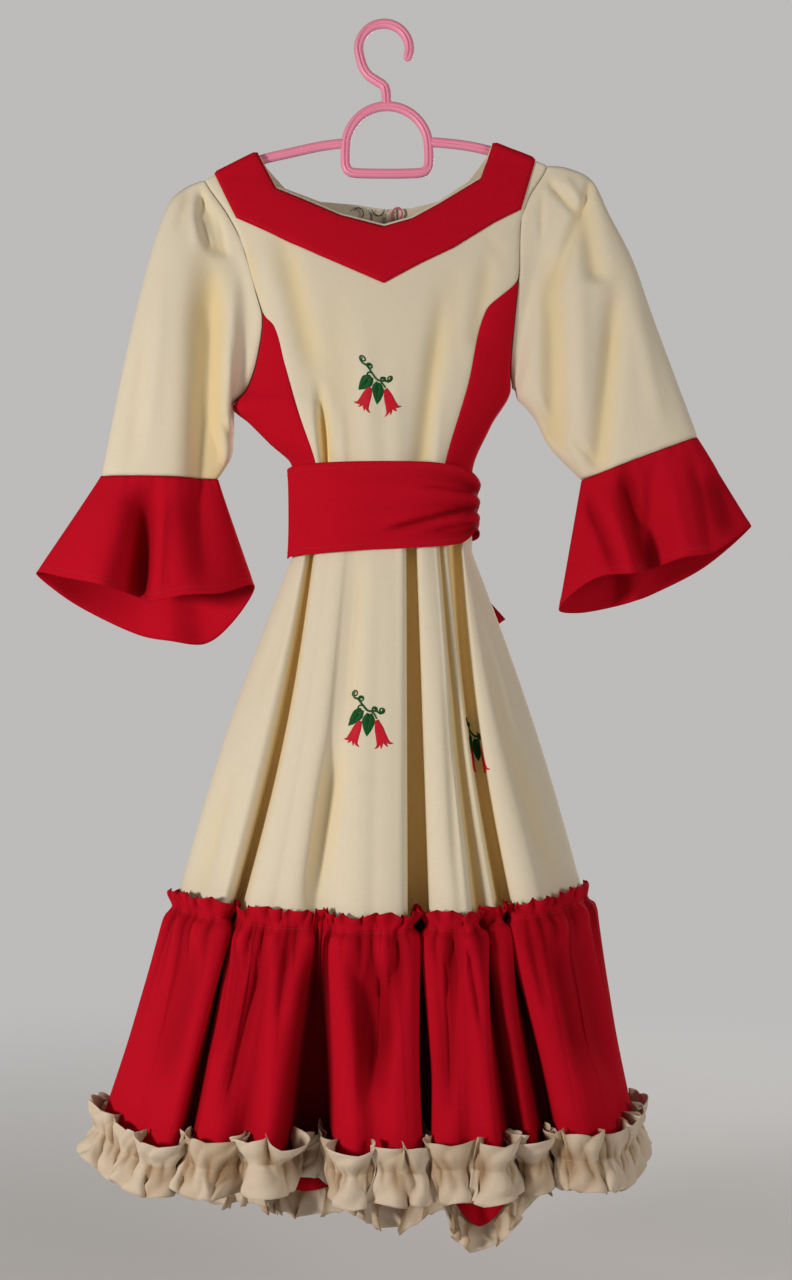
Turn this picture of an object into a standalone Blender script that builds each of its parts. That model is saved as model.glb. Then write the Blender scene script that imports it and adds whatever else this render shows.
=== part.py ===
"""Huasa dress on a child's plastic hanger.

A cream princess-cut bodice with red side panels and a red pointed neck band, elbow sleeves with red circular
cuffs, a flared cream skirt, a gathered red flounce, a double-edged hem ruffle and a red sash tied behind.

The tables are in millimetres and MM turns them into metres. +X is the viewer's right, +Y points away from the
viewer, +Z is up, and the origin is where the hook bears on what holds it. Left and right are the viewer's.
"""

import math

import bmesh
import bpy
import numpy as np

MM = 0.001

CLOTH_WALL = 1.6
SEAM_GAP = 0.3
BEND_GAP = 0.7  # each edge is drawn in this far where a seam lies on a sharp bend, so the walls stay apart
ARMHOLE_GAP = 1.1
LAID_ON = CLOTH_WALL + SEAM_GAP  # from the middle of one wall to the middle of one that lies on it
MOST_MITRE = 1.8  # a point on a sharp bend moves out at most this many times as far

WAIST_Z = -462.0
FRONT_WAVES = 24  # gathers of the flounce and of the hem ruffle, in the front half and again in the back half
BACK_WAVES = 16
POINTS_A_WAVE = 4
HEADING = 10.0  # ruffled heading of the flounce above its stitch line
SKIRT_UNDERLAP = 5.0  # the skirt's raw edge below the stitch line
RUFFLE_ABOVE = 29.0  # hem ruffle above its gathering line
RUFFLE_BELOW = 30.0
RUFFLE_NOD = 2.5  # the ruffle's edges rise and fall with its waves
LEAST_ROOM = 0.7  # share of the free distance in a fold that a gather may fill

BAR_RADIUS = 4.6
HOOK_RADIUS = 24.4
HOOK_CENTRE = (0.0, -19.8)
ARM_BELOW_SEAM = 6.3
RIDGE_HALF = 7.2  # half thickness of the bodice over the hanger's arm
ARM_END_SCALE = 0.78

RED = (0.45, 0.006, 0.016)
CREAM = (0.76, 0.66, 0.46)
RUFFLE_CREAM = (0.62, 0.50, 0.34)
PINK = (0.86, 0.27, 0.42)


def table(columns, *rows):
    """Named columns of a table whose rows start with a label."""
    names = columns.split()
    return {name: np.array([row[i + 1] for row in rows], float) for i, name in enumerate(names)}


# Shoulders, necklines and armholes

FRONT_TOP = table(
    "x z",
    ("left shoulder tip", -172, -146),
    ("left neck point", -121, -121),
    ("just below it", -120.3, -122.8),
    ("beside the arm", -117.8, -128.5),
    ("left neck corner", -102, -158),
    ("left neck slope", -72, -171),
    ("left of the point", -41, -185),
    ("neck point", 0, -196),
    ("right of the point", 27, -188),
    ("right neck slope", 53, -173),
    ("right neck corner", 92, -148),
    ("beside the other arm", 101.4, -119.6),
    ("just below the point", 103.4, -113.8),
    ("right neck point", 104, -112),
    ("right shoulder tip", 157, -132),
)
BACK_TOP = table(
    "x z",
    ("left shoulder tip", -172, -146),
    ("left neck point", -121, -121),
    ("just below it", -120.2, -122.6),
    ("behind the arm", -116.5, -128),
    ("left neck curve", -96, -150),
    ("left of the slit", -62, -162),
    ("left of the zip", -26, -165),
    ("zip", 0, -169),
    ("right of the zip", 26, -168),
    ("right of the slit", 52, -162),
    ("right neck curve", 82, -143),
    ("behind the other arm", 100.5, -119),
    ("just below the point", 103.2, -113.6),
    ("right neck point", 104, -112),
    ("right shoulder tip", 157, -132),
)
# The outline of each side at a height: down the armhole to the underarm, then in to the waist
LEFT_SIDE = table(
    "z x edge_depth",
    ("shoulder tip", -146, -172, 0.2),
    ("below the tip", -152, -169, 6),
    ("cap notch", -180, -150, 11),
    ("narrowest front", -205, -137, 14),
    ("chest", -258, -121, 17),
    ("mid armhole", -283, -115, 17),
    ("lower armhole", -318, -120, 14),
    ("near the underarm", -350, -132, 7),
    ("underarm", -364, -146, 0.2),
    ("under the arm", -379, -130, 0.2),
    ("side", -399, -110, 0.2),
    ("above the sash", -420, -89, 0.2),
    ("waist", WAIST_Z, -86, 0.2),
)
RIGHT_SIDE = table(
    "z x edge_depth",
    ("shoulder tip", -132, 157, 0.2),
    ("below the tip", -139, 154, 6),
    ("cap notch", -166, 138, 11),
    ("narrowest front", -193, 130, 14),
    ("chest", -242, 128, 17),
    ("mid armhole", -286, 124, 15),
    ("near the underarm", -328, 121, 8),
    ("underarm", -346, 122, 0.2),
    ("side", -382, 103, 0.2),
    ("above the sash", -428, 85, 0.2),
    ("waist", WAIST_Z, 84, 0.2),
)
FULLNESS, EDGE_ROUND = 2.4, 0.55  # powers of the bodice's section
# Half thickness of the empty bodice at its middle
BODY_DEPTH = table(
    "z front back",
    ("shoulder line", -112, 8, 8),
    ("back neck", -165, 17, 17),
    ("neck point", -196, 22, 23),
    ("band point", -252, 31, 30),
    ("chest", -310, 38, 34),
    ("underarm", -364, 42, 37),
    ("above the sash", -424, 46, 41),
    ("waist", WAIST_Z, 47, 42),
)
LEFT_PRINCESS = table(
    "z x",
    ("armhole", -280, -113),
    ("top of the curve", -290, -104),
    ("bust", -328, -93),
    ("midriff", -376, -79),
    ("above the sash", -421, -64),
    ("waist", WAIST_Z, -55),
)
RIGHT_PRINCESS = table(
    "z x",
    ("armhole", -250, 124),
    ("top of the curve", -260, 113),
    ("curve", -275, 97),
    ("bust", -348, 79),
    ("above the sash", -424, 57),
    ("waist", WAIST_Z, 50),
)
LEFT_BACK_PRINCESS = table(
    "z x",
    ("armhole", -268, -115),
    ("top of the curve", -282, -104),
    ("shoulder blade", -330, -90),
    ("waist", WAIST_Z, -58),
)
RIGHT_BACK_PRINCESS = table(
    "z x",
    ("armhole", -262, 122),
    ("top of the curve", -276, 108),
    ("shoulder blade", -330, 90),
    ("waist", WAIST_Z, 54),
)
# Rows of the bodice's panels, as shares of the way from the top edge to the waist
PANEL_ROWS = (0, 0.009, 0.03, 0.1, 0.22, 0.35, 0.42, 0.5, 0.64, 0.8, 0.885, 1.0)
TIP_BELOW_ARMHOLE = 8.0  # a side panel's narrow top below the point where its seam meets the armhole
# Soft vertical folds of the empty bodice: a trough runs from its top to its bottom point
FRONT_FOLDS = table(
    "x_top z_top x_bottom z_bottom width depth",
    ("beside the left seam", -66, -335, -48, -470, 9, 9),
    ("left of the middle", -50, -225, -30, -470, 16, 3),
    ("right of the middle", 40, -240, 33, -470, 10, 7),
    ("below the right neck", 84, -215, 58, -350, 15, 3.5),
)
BACK_FOLDS = table(
    "x_top z_top x_bottom z_bottom width depth",
    ("left blade", -70, -235, -34, -470, 14, 6),
    ("right blade", 66, -235, 30, -470, 14, 6),
)
BAND = table(
    "x_in z_in x_out z_out",
    ("left shoulder", -121, -121.2, -162, -141),
    ("left slope", -113, -137, -151, -164),
    ("left corner", -102, -158, -140, -186),
    ("left upper", -72, -171, -105, -203),
    ("left lower", -41, -185, -60, -225),
    ("point", 0, -196, 0, -252),
    ("right lower", 27, -188, 34, -233),
    ("right upper", 53, -173, 66, -217),
    ("right corner", 92, -148, 104, -192),
    ("right slope", 98, -131, 130, -178),
    ("right shoulder", 104, -112.2, 145, -127),
)

# Sleeves: each section runs from a point on the outer outline to one on the underarm seam

LEFT_SLEEVE = table(
    "x_out z_out x_in z_in bow half_depth",
    ("head", -190, -153, -150, -366, 36, 15),
    ("top of the head", -206, -168, -149, -371, 30, 22),
    ("upper arm", -220, -205, -147, -377, 25, 28),
    ("middle", -234, -258, -145, -385, 17, 31),
    ("above the elbow", -247, -315, -145, -396, 9, 31),
    ("elbow", -259, -374, -147, -412, 4, 29),
    ("cuff seam", -270, -431, -160, -433, 0, 27),
)
RIGHT_SLEEVE = table(
    "x_out z_out x_in z_in bow half_depth",
    ("head", 178, -135, 126, -348, -9, 15),
    ("top of the head", 200, -147, 127, -352, -8, 22),
    ("upper arm", 216, -180, 129, -357, -7, 28),
    ("middle", 238, -224, 136, -364, -5, 31),
    ("above the elbow", 257, -278, 146, -377, -3, 31),
    ("elbow", 279, -337, 160, -403, -1, 29),
    ("cuff seam", 300, -393, 190, -434, 0, 27),
)
LEFT_SLEEVE_FOLDS = table(
    "x_top z_top x_bottom z_bottom width depth",
    ("long soft valley", -162, -205, -184, -425, 17, 13),
    ("cap", -176, -150, -158, -215, 8, 5),
)
RIGHT_SLEEVE_FOLDS = table(
    "x_top z_top x_bottom z_bottom width depth",
    ("cap", 186, -150, 200, -240, 10, 7),
    ("inner valley", 158, -240, 178, -380, 15, 9),
    ("outer valley", 212, -245, 236, -395, 14, 9),
)
# Edge of each circular cuff, from its outer tip along the front and back behind
LEFT_CUFF = table(
    "x y z",
    ("left tip", -334, 0, -523),
    ("front left", -296, -28, -529),
    ("first lobe", -265, -42, -535),
    ("into the valley", -247, -26, -541),
    ("valley", -233, -8, -547),
    ("ridge", -216, -40, -551),
    ("second lobe", -184, -49, -545),
    ("front right", -152, -38, -543),
    ("right tip", -124, -6, -535),
    ("back right", -148, 24, -570),
    ("lowest back", -177, 40, -591),
    ("back valley", -210, 28, -588),
    ("back", -243, 44, -582),
    ("back left", -293, 34, -558),
    ("behind the tip", -317, 18, -541),
)
RIGHT_CUFF = table(
    "x y z",
    ("right tip", 352, -2, -478),
    ("front right", 309, -34, -505),
    ("second lobe", 280, -41, -510),
    ("valley", 251, -18, -521),
    ("rib", 235, -47, -525),
    ("first lobe", 205, -43, -527),
    ("front left", 184, -29, -538),
    ("left tip", 168, 0, -558),
    ("back left", 187, 22, -561),
    ("lowest back", 224, 42, -555),
    ("back valley", 245, 28, -549),
    ("back", 267, 44, -541),
    ("back right", 309, 32, -519),
    ("behind the tip", 336, 20, -497),
)
CUFF_FLARE = (0.0, 0.3, 0.65, 1.0)

# Skirt and flounce: a row for each ridge and valley, right round from the left side seam. The sash holds the
# waist, so a fold there has only its place and how far it is pressed in.

FOLDS = table(
    "x_waist pressed_in bow x_seam y_seam z_seam x_hem y_hem z_hem",
    ("left side", -86, 0, -7, -194, -5, -828, -271, -8, -1084),
    ("left lobe", -81, 0, -5, -164, -62, -826, -213, -74, -1064),
    ("first fold, left", -73, 0, 4, -142, -81, -825, -159, -92, -1059),
    ("first fold", -67, 8, 7, -130, -68, -825, -132, -73, -1062),
    ("first fold, right", -60, 0, 8, -115, -92, -828, -104, -102, -1058),
    ("first column", -46, 0, 4, -87, -107, -829, -82, -100, -1057),
    ("soft valley", -32, 2, 0, -53, -97, -829, -62, -60, -1060),
    ("middle column, left", -20, 0, 0, -33, -108, -831, -38, -104, -1060),
    ("middle column", -3, 0, 0, -9, -113, -832, -3, -117, -1059),
    ("middle column, right", 18, 0, 0, 17, -108, -832, 31, -110, -1059),
    ("deep valley", 26, 15, 0, 30, -76, -826, 42, -94, -1064),
    ("third column, left", 34, 1, 0, 44, -100, -831, 53, -108, -1059),
    ("third column", 43, 0, 0, 64, -110, -831, 82, -117, -1056),
    ("thin line", 52, 4, -2, 82, -93, -829, 102, -112, -1056),
    ("fourth column", 58, 0, -4, 97, -103, -827, 113, -105, -1056),
    ("ochre valley", 68, 10, -8, 115, -70, -824, 122, -87, -1058),
    ("fifth column", 75, 0, -6, 129, -90, -824, 137, -98, -1051),
    ("fifth column, right", 79, 1, -3, 147, -88, -822, 158, -77, -1054),
    ("right lobe", 82, 0, 3, 168, -58, -818, 191, -86, -1059),
    ("right side", 84, 0, 6, 188, -5, -820, 238, -8, -1086),
    ("back lobe right", 78, 0, 3, 160, 56, -838, 196, 60, -1112),
    ("back valley right", 62, 9, 0, 120, 28, -852, 146, 26, -1138),
    ("back lobe low", 46, 0, 0, 87, 66, -884, 101, 70, -1176),
    ("back valley", 28, 10, 0, 52, 34, -872, 60, 30, -1158),
    ("centre back", 4, 0, 0, 12, 69, -874, 12, 73, -1155),
    ("back valley mid", -20, 10, 0, -24, 34, -866, -29, 30, -1142),
    ("back lobe left", -40, 0, 0, -62, 68, -866, -75, 71, -1140),
    ("back valley left", -58, 9, 0, -98, 32, -856, -118, 29, -1132),
    ("far back lobe", -74, 0, -3, -137, 57, -850, -169, 62, -1130),
    ("behind the left side", -83, 3, -5, -173, 24, -836, -228, 28, -1106),
)
LEFT_SIDE_FOLD, RIGHT_SIDE_FOLD, CENTRE_BACK_FOLD, FOLD_COUNT = 0, 19, 24, 30
SKIRT_HELD = 0.11  # share of the skirt's height that the sash holds in
SKIRT_ROWS = (0.0, 0.11, 0.25, 0.45, 0.7)
FLOUNCE_ROWS = table(
    "below_seam gather lift",
    ("heading edge", -HEADING, 4.2, 6.8),
    ("stitch line", 0.0, 1.3, 3.4),
    ("first fall", 20.0, 2.8, 4.2),
    ("half way", 85.0, 2.0, 2.6),
    ("low", 165.0, 0.9, 0.8),
    ("hem", 252.0, 0.0, 0.0),
)

RUFFLE_ROWS = table(
    "below_line lift wave least",
    ("upper edge", -RUFFLE_ABOVE, 10.5, 7.6, 3.0),
    ("upper half", -0.5 * RUFFLE_ABOVE, 8.0, 5.2, 3.0),
    ("gathering line", 0.0, 2.8, 0.3, 2.6),
    ("lower half", 14.0, 3.4, 4.6, -9),
    ("lower edge", RUFFLE_BELOW, 3.4, 7.6, -9),
)

# Sash: height of its two edges at places round the waist, and how deeply it is pleated there

SASH_EDGES = table(
    "place z_top z_bottom pleat",
    ("left side", 0.0, -425, -509, 0.0),
    ("front left", 0.12, -422, -507, 0.0),
    ("front middle", 0.27, -421, -502, 0.3),
    ("front right", 0.385, -424, -497, 1.4),
    ("pinch", 0.462, -434, -483, 3.0),
    ("right side", 0.5, -437, -487, 2.0),
    ("back right", 0.6, -436, -492, 1.2),
    ("right of the knot", 0.73, -447, -485, 2.2),
    ("left of the knot", 0.79, -447, -485, 2.2),
    ("back left", 0.9, -432, -499, 1.0),
    ("left side again", 1.0, -425, -509, 0.0),
)
SASH_OFF = 3.6
SASH_PLEATS = 3.0
SASH_EDGE_LIFT = 1.2
SASH_COLUMNS, SASH_LINES = 40, 7
SASH_BEYOND_SIDE = 1.5
KNOT_CENTRE = (4.0, -466.0)
KNOT_HALF = (21.0, 12.0, 25.0)
KNOT_BEHIND_SASH = 1.1
TAIL_WIDTH = (28.0, 62.0)  # where it leaves the knot and at its end
TAIL_FLUTE = 3.2
TAIL_DRIFT = 7.0  # how far a tail drifts from the skirt on its way down
TAILS = table(
    "x_top z_top x_end z_end over_knot",
    ("left", -11, -478, -74, -610, 12.7),
    ("right", 22, -478, 108, -580, 7.6),
)


def smoothstep(value):
    value = np.clip(value, 0.0, 1.0)
    return value * value * (3 - 2 * value)


def at_height(rows, z, column="x"):
    """A column of a table at a height; its rows run downwards."""
    return np.interp(-np.asarray(z, float), -rows["z"], rows[column])


def spline(knots, places):
    """Points of the smooth closed curve through the knots; place 2.5 lies between knots 2 and 3."""
    knots = np.asarray(knots, float)
    places = np.asarray(places, float)
    count = len(knots)
    index = np.floor(places).astype(int)
    share = (places - index)[:, None]
    before, start, end, after = (knots[(index + step) % count] for step in (-1, 0, 1, 2))
    spans = [np.sqrt(np.linalg.norm(b - a, axis=1, keepdims=True)) + 1e-9
             for a, b in ((before, start), (start, end), (end, after))]
    chord = end - start
    leaving = chord + spans[1] * ((start - before) / spans[0] - (end - before) / (spans[0] + spans[1]))
    arriving = chord + spans[1] * ((after - end) / spans[2] - (after - start) / (spans[1] + spans[2]))
    square, cube = share**2, share**3
    return ((2 * cube - 3 * square + 1) * start + (cube - 2 * square + share) * leaving
            + (3 * square - 2 * cube) * end + (cube - square) * arriving)


def even_places(knots, first, last, count):
    """Places that cut the curve from knot first to knot last into count pieces of the same length."""
    fine = np.linspace(first, last, 40 * (last - first) + 1)
    points = spline(knots, fine)
    lengths = np.concatenate([[0], np.cumsum(np.linalg.norm(np.diff(points, axis=0), axis=1))])
    return np.interp(np.linspace(0, lengths[-1], count + 1), lengths, fine)


def move_out(grid, distance):
    """Moves rings of cloth outwards; a point on a bend goes further, so the lines beside it stay clear."""
    across = np.roll(grid, -1, axis=1) - np.roll(grid, 1, axis=1)
    normal = np.cross(np.gradient(grid, axis=0), across)
    normal /= np.linalg.norm(normal, axis=2, keepdims=True)
    after = np.roll(grid, -1, axis=1) - grid
    after /= np.linalg.norm(after, axis=2, keepdims=True)
    straight = (after * np.roll(after, 1, axis=1)).sum(axis=2)
    mitre = np.minimum(np.sqrt(2 / (1.001 + straight)), MOST_MITRE)
    return grid + normal * (distance * mitre)[..., None]


def trim(grid, left=0.0, right=0.0, top=0.0, bottom=0.0):
    """Draws the edges of a grid in by these distances, along its own lines."""
    grid = grid.copy()
    for distance, edge, inner in (
        (left, np.s_[:, 0], np.s_[:, 1]),
        (right, np.s_[:, -1], np.s_[:, -2]),
        (top, np.s_[0], np.s_[1]),
        (bottom, np.s_[-1], np.s_[-2]),
    ):
        way = grid[inner] - grid[edge]
        grid[edge] += distance * way / (np.linalg.norm(way, axis=1, keepdims=True) + 1e-9)
    return grid


def material(name, colour, roughness):
    made = bpy.data.materials.new(name)
    made.use_nodes = True
    shader = made.node_tree.nodes["Principled BSDF"]
    shader.inputs["Base Color"].default_value = (*colour, 1.0)
    shader.inputs["Roughness"].default_value = roughness
    return made


def cloth(name, grid, finish, collection, ring=False):
    """A sheet of cloth: the grid's surface, closed on itself where it is a ring, with an even wall."""
    rows, columns = grid.shape[:2]
    mesh = bpy.data.meshes.new(name)
    faces = []
    for first in range(0, (rows - 1) * columns, columns):
        for c in range(columns if ring else columns - 1):
            after = (c + 1) % columns
            faces.append((first + c, first + after, first + columns + after, first + columns + c))
    mesh.from_pydata((grid.reshape(-1, 3) * MM).tolist(), [], faces)
    mesh.materials.append(finish)
    mesh.shade_smooth()
    sheet = bpy.data.objects.new(name, mesh)
    collection.objects.link(sheet)
    shell = sheet.modifiers.new("wall", "SOLIDIFY")
    shell.thickness = CLOTH_WALL * MM
    shell.offset = 0.0
    return sheet


# Bodice

def fold_depth(folds, x, z):
    """How far troughs press the cloth in at a point; each deepens downwards from its top."""
    total = np.zeros(np.broadcast(x, z).shape)
    for i in range(len(folds["depth"])):
        z_top, z_bottom = folds["z_top"][i], folds["z_bottom"][i]
        share = (z_top - z) / (z_top - z_bottom)
        middle = folds["x_top"][i] + (folds["x_bottom"][i] - folds["x_top"][i]) * share
        reach = smoothstep(share / 0.45) * smoothstep((1.15 - share) / 0.15)
        total += folds["depth"][i] * reach * np.exp(-(((x - middle) / folds["width"][i]) ** 2))
    return total


def shoulder_line(x):
    """Height of the shoulder seams, and of the straight line between their neck ends."""
    ends = [0, 1, -2, -1]
    return np.interp(x, FRONT_TOP["x"][ends], FRONT_TOP["z"][ends])


def section_share(x, left, right):
    """Depth of the body's section at x, as a share of its depth at the middle."""
    across = np.clip((x - left) / (right - left), 0, 1)
    return (1 - np.abs(2 * across - 1) ** FULLNESS) ** EDGE_ROUND


def body_y(x, z, side):
    """Depth of the bodice at a point of its front (side -1) or its back (side 1)."""
    left, right = at_height(LEFT_SIDE, z), at_height(RIGHT_SIDE, z)
    across = np.clip((x - left) / (right - left), 0, 1)
    middle = at_height(BODY_DEPTH, z, "front" if side < 0 else "back")
    edge_left, edge_right = (at_height(rows, z, "edge_depth") for rows in (LEFT_SIDE, RIGHT_SIDE))
    edge = (1 - across) * edge_left + across * edge_right
    round_off = section_share(x, left, right)
    full = edge + (middle - edge) * round_off
    below = np.clip(shoulder_line(x) - z, 0, None)
    settled = 1 - np.exp(-below / 25)
    ridge = RIDGE_HALF * np.sqrt(np.clip(below / 3.0, 0, 1))
    folds = fold_depth(FRONT_FOLDS if side < 0 else BACK_FOLDS, x, z)
    return side * (ridge * (1 - settled) + (full - folds * round_off) * settled + BEND_GAP)


def body_point(x, z, side, out=0.0):
    """A point on the bodice, moved out of the cloth by a distance."""
    step = 0.8
    y = body_y(x, z, side)
    slope_x = (body_y(x + step, z, side) - body_y(x - step, z, side)) / (2 * step)
    slope_z = (body_y(x, z + step, side) - body_y(x, z - step, side)) / (2 * step)
    normal = np.stack([-slope_x, np.ones_like(y), -slope_z], axis=-1) * side
    normal /= np.linalg.norm(normal, axis=-1, keepdims=True)
    return np.stack([x, y, z], axis=-1) + normal * out


def outer_edge(side_rows, princess):
    """The edge of a centre panel: down the armhole, then down the princess seam."""
    start = princess["z"][0]
    above = side_rows["z"] > start
    return {
        "z": np.concatenate([side_rows["z"][above], princess["z"]]),
        "x": np.concatenate([side_rows["x"][above], princess["x"]]),
    }


def centre_panel(top, left, right, side, spacing=19.0):
    """A panel from the shoulders and neckline to the waist; its lines keep their share of the width."""
    x = [top["x"][0]]
    z = [top["z"][0]]
    for i in range(len(top["x"]) - 1):
        length = math.hypot(top["x"][i + 1] - top["x"][i], top["z"][i + 1] - top["z"][i])
        steps = max(1, round(length / spacing))
        x.extend(np.linspace(top["x"][i], top["x"][i + 1], steps + 1)[1:])
        z.extend(np.linspace(top["z"][i], top["z"][i + 1], steps + 1)[1:])
    x, z = np.array(x), np.array(z)
    share = (x - at_height(left, z)) / (at_height(right, z) - at_height(left, z))
    heights = z + (WAIST_Z - z) * np.array(PANEL_ROWS)[:, None]
    places = at_height(left, heights) + share * (at_height(right, heights) - at_height(left, heights))
    return body_point(places, heights, side)


def half_of(grid, keep_left):
    """The part of a back panel on one side of the centre-back slit."""
    centre = int(np.argmin(np.abs(grid[0, :, 0])))
    return grid[:, : centre + 1] if keep_left else grid[:, centre:]


def armhole_levels(side_rows):
    """Heights at which the panels' rows meet the armhole, from the shoulder tip to the underarm."""
    tip, underarm = side_rows["z"][0], side_rows["z"][list(side_rows["edge_depth"][1:]).index(0.2) + 1]
    rows = tip + (WAIST_Z - tip) * np.array(PANEL_ROWS)
    return np.append(rows[rows > underarm + 6], underarm)


def side_panel(seam, side_rows, top, side, columns=4):
    """A panel between a princess seam, given as the centre panel's edge, and the side seam."""
    levels = np.concatenate([armhole_levels(side_rows), seam[1:, 2]])
    levels = np.array(sorted({float(z) for z in levels if z < top - 5} | {top}, reverse=True))
    levels = levels[np.concatenate([[True], np.diff(levels) < -6])]
    levels[-1] = WAIST_Z
    heights = levels[:, None]
    inner = np.interp(-heights, -seam[:, 2], seam[:, 0])
    outer = at_height(side_rows, heights)
    share = np.linspace(0, 1, columns + 1)
    left, right = (outer, inner) if side_rows is LEFT_SIDE else (inner, outer)
    places = left + share * (right - left)
    return body_point(places, np.broadcast_to(heights, places.shape), side)


def add_bodice(finishes, collection):
    half = SEAM_GAP / 2
    front = centre_panel(
        FRONT_TOP, outer_edge(LEFT_SIDE, LEFT_PRINCESS), outer_edge(RIGHT_SIDE, RIGHT_PRINCESS), -1
    )
    cloth("bodice_front", trim(front, half, half, 0, half), finishes["cream"], collection)
    back = centre_panel(
        BACK_TOP, outer_edge(LEFT_SIDE, LEFT_BACK_PRINCESS), outer_edge(RIGHT_SIDE, RIGHT_BACK_PRINCESS), 1
    )
    for name, keep_left in (("back_left", True), ("back_right", False)):
        piece = trim(half_of(back, keep_left), half * 2, half * 2, 0, half)
        cloth(name, piece, finishes["cream"], collection)
    for name, seam, side_rows, princess, side in (
        ("side_front_left", front[:, 0], LEFT_SIDE, LEFT_PRINCESS, -1),
        ("side_front_right", front[:, -1], RIGHT_SIDE, RIGHT_PRINCESS, -1),
        ("side_back_left", back[:, 0], LEFT_SIDE, LEFT_BACK_PRINCESS, 1),
        ("side_back_right", back[:, -1], RIGHT_SIDE, RIGHT_BACK_PRINCESS, 1),
    ):
        piece = side_panel(seam, side_rows, princess["z"][0] - TIP_BELOW_ARMHOLE, side)
        cloth(name, trim(piece, half * 2, half * 2, 0, half), finishes["red"], collection)


def add_neck_band(finishes, collection):
    """The band lies on the front panel: its points are the panel's, moved out."""
    count = len(BAND["x_in"])
    over_shoulder = np.array((0.0, 0.06, 0.16, 0.4))
    slope = np.linspace(1, count - 2, 3 * (count - 3) + 1)
    places = np.concatenate([over_shoulder, slope, count - 1 - over_shoulder[::-1]])
    inner, outer = (
        np.stack([np.interp(places, range(count), BAND[axis + edge]) for axis in ("x", "z")], axis=-1)
        for edge in ("_in", "_out")
    )
    across = np.array((0.0, 0.5, 1.0))[:, None, None]
    flat = inner + (outer - inner) * across
    band = body_point(flat[..., 0], flat[..., 1], -1, LAID_ON + 1.0)
    cloth("neck_band", trim(band, 0.8, 0.8, 0.3, 0), finishes["red"], collection)


# Sleeves and cuffs

def armhole_ring(side_rows, levels, outward):
    """The armhole's edge, set off by a gap: from the shoulder tip down the front and up the back."""
    x = at_height(side_rows, levels)
    away = np.stack([np.gradient(levels), -np.gradient(x)], axis=-1) * -outward
    away /= np.linalg.norm(away, axis=1, keepdims=True)
    away[0], away[-2], away[-1] = (outward, 0.3), away[-2] * 1.4, (outward * 2.1, 0.4)
    x_off, z_off = (np.stack([x, levels], axis=-1) + away * ARMHOLE_GAP).T
    front = np.stack([x_off, body_y(x, levels, -1), z_off], axis=-1)
    back = np.stack([x_off, body_y(x, levels, 1), z_off], axis=-1)
    front[0, 1] = front[-1, 1] = 0.0
    return np.concatenate([front, back[-2:0:-1]])


def sleeve_grid(rows, side_rows, folds, outward):
    levels = armhole_levels(side_rows)
    down = (levels[0] - levels) / (levels[0] - levels[-1])
    along = np.concatenate([down, down[-2:0:-1]])
    behind = np.arange(len(along)) >= len(down)
    round_off = np.sqrt(1 - (1 - 2 * along) ** 2) ** 0.62
    rings = [armhole_ring(side_rows, levels, outward)]
    for i in range(len(rows["bow"])):
        x = rows["x_out"][i] + (rows["x_in"][i] - rows["x_out"][i]) * along
        x += rows["bow"][i] * 4 * along * (1 - along)
        z = rows["z_out"][i] + (rows["z_in"][i] - rows["z_out"][i]) * along
        swell = rows["half_depth"][i] * round_off
        pressed = fold_depth(folds, x, z) * np.where(behind, 0.45, 1.0)
        pressed = np.minimum(pressed, swell * 0.7)
        y = np.where(behind, 1, -1) * (swell - pressed)
        rings.append(np.stack([x, y, z], axis=-1))
    return np.stack(rings)


def add_sleeves(finishes, collection):
    for name, rows, side_rows, folds, outward in (
        ("left", LEFT_SLEEVE, LEFT_SIDE, LEFT_SLEEVE_FOLDS, -1),
        ("right", RIGHT_SLEEVE, RIGHT_SIDE, RIGHT_SLEEVE_FOLDS, 1),
    ):
        grid = sleeve_grid(rows, side_rows, folds, outward)
        cuff_seam = grid[-1].copy()
        cloth("sleeve_" + name, trim(grid, bottom=SEAM_GAP / 2), finishes["cream"], collection, ring=True)
        add_cuff("cuff_" + name, cuff_seam, LEFT_CUFF if outward < 0 else RIGHT_CUFF, finishes, collection)


def add_cuff(name, seam, edge, finishes, collection, columns=36):
    """A circular cuff from the sleeve's end to its wavy edge; both run from the outer tip along the front."""
    knots = np.stack([edge["x"], edge["y"], edge["z"]], axis=-1)
    places = even_places(knots, 0, len(knots), columns)[:-1]
    inner_tip = int(np.argmax(np.abs(knots[:, 0] - knots[0, 0])))
    half_way = len(seam) / 2
    turns = np.interp(places, [0, inner_tip, len(knots)], [0, half_way, 2 * half_way])
    start, hem = spline(seam, turns), spline(knots, places)
    grid = np.stack([start + (hem - start) * share for share in CUFF_FLARE])
    cloth(name, trim(grid, top=BEND_GAP + SEAM_GAP), finishes["red"], collection, ring=True)


# Skirt, flounce and hem ruffle

def waist_knots():
    """Where each fold meets the waist: on the bodice's own section there, pressed in."""
    x = FOLDS["x_waist"]
    front = np.arange(len(x)) <= RIGHT_SIDE_FOLD
    left, right = LEFT_SIDE["x"][-1], RIGHT_SIDE["x"][-1]
    depth = np.where(front, BODY_DEPTH["front"][-1], BODY_DEPTH["back"][-1]) * section_share(x, left, right)
    y = np.where(front, -1, 1) * np.maximum(depth - FOLDS["pressed_in"], 0)
    return np.stack([x, y, np.full_like(x, WAIST_Z)], axis=-1)


def seam_knots():
    return np.stack([FOLDS["x_seam"], FOLDS["y_seam"], FOLDS["z_seam"]], axis=-1)


def hem_knots():
    return np.stack([FOLDS["x_hem"], FOLDS["y_hem"], FOLDS["z_hem"]], axis=-1)


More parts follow.
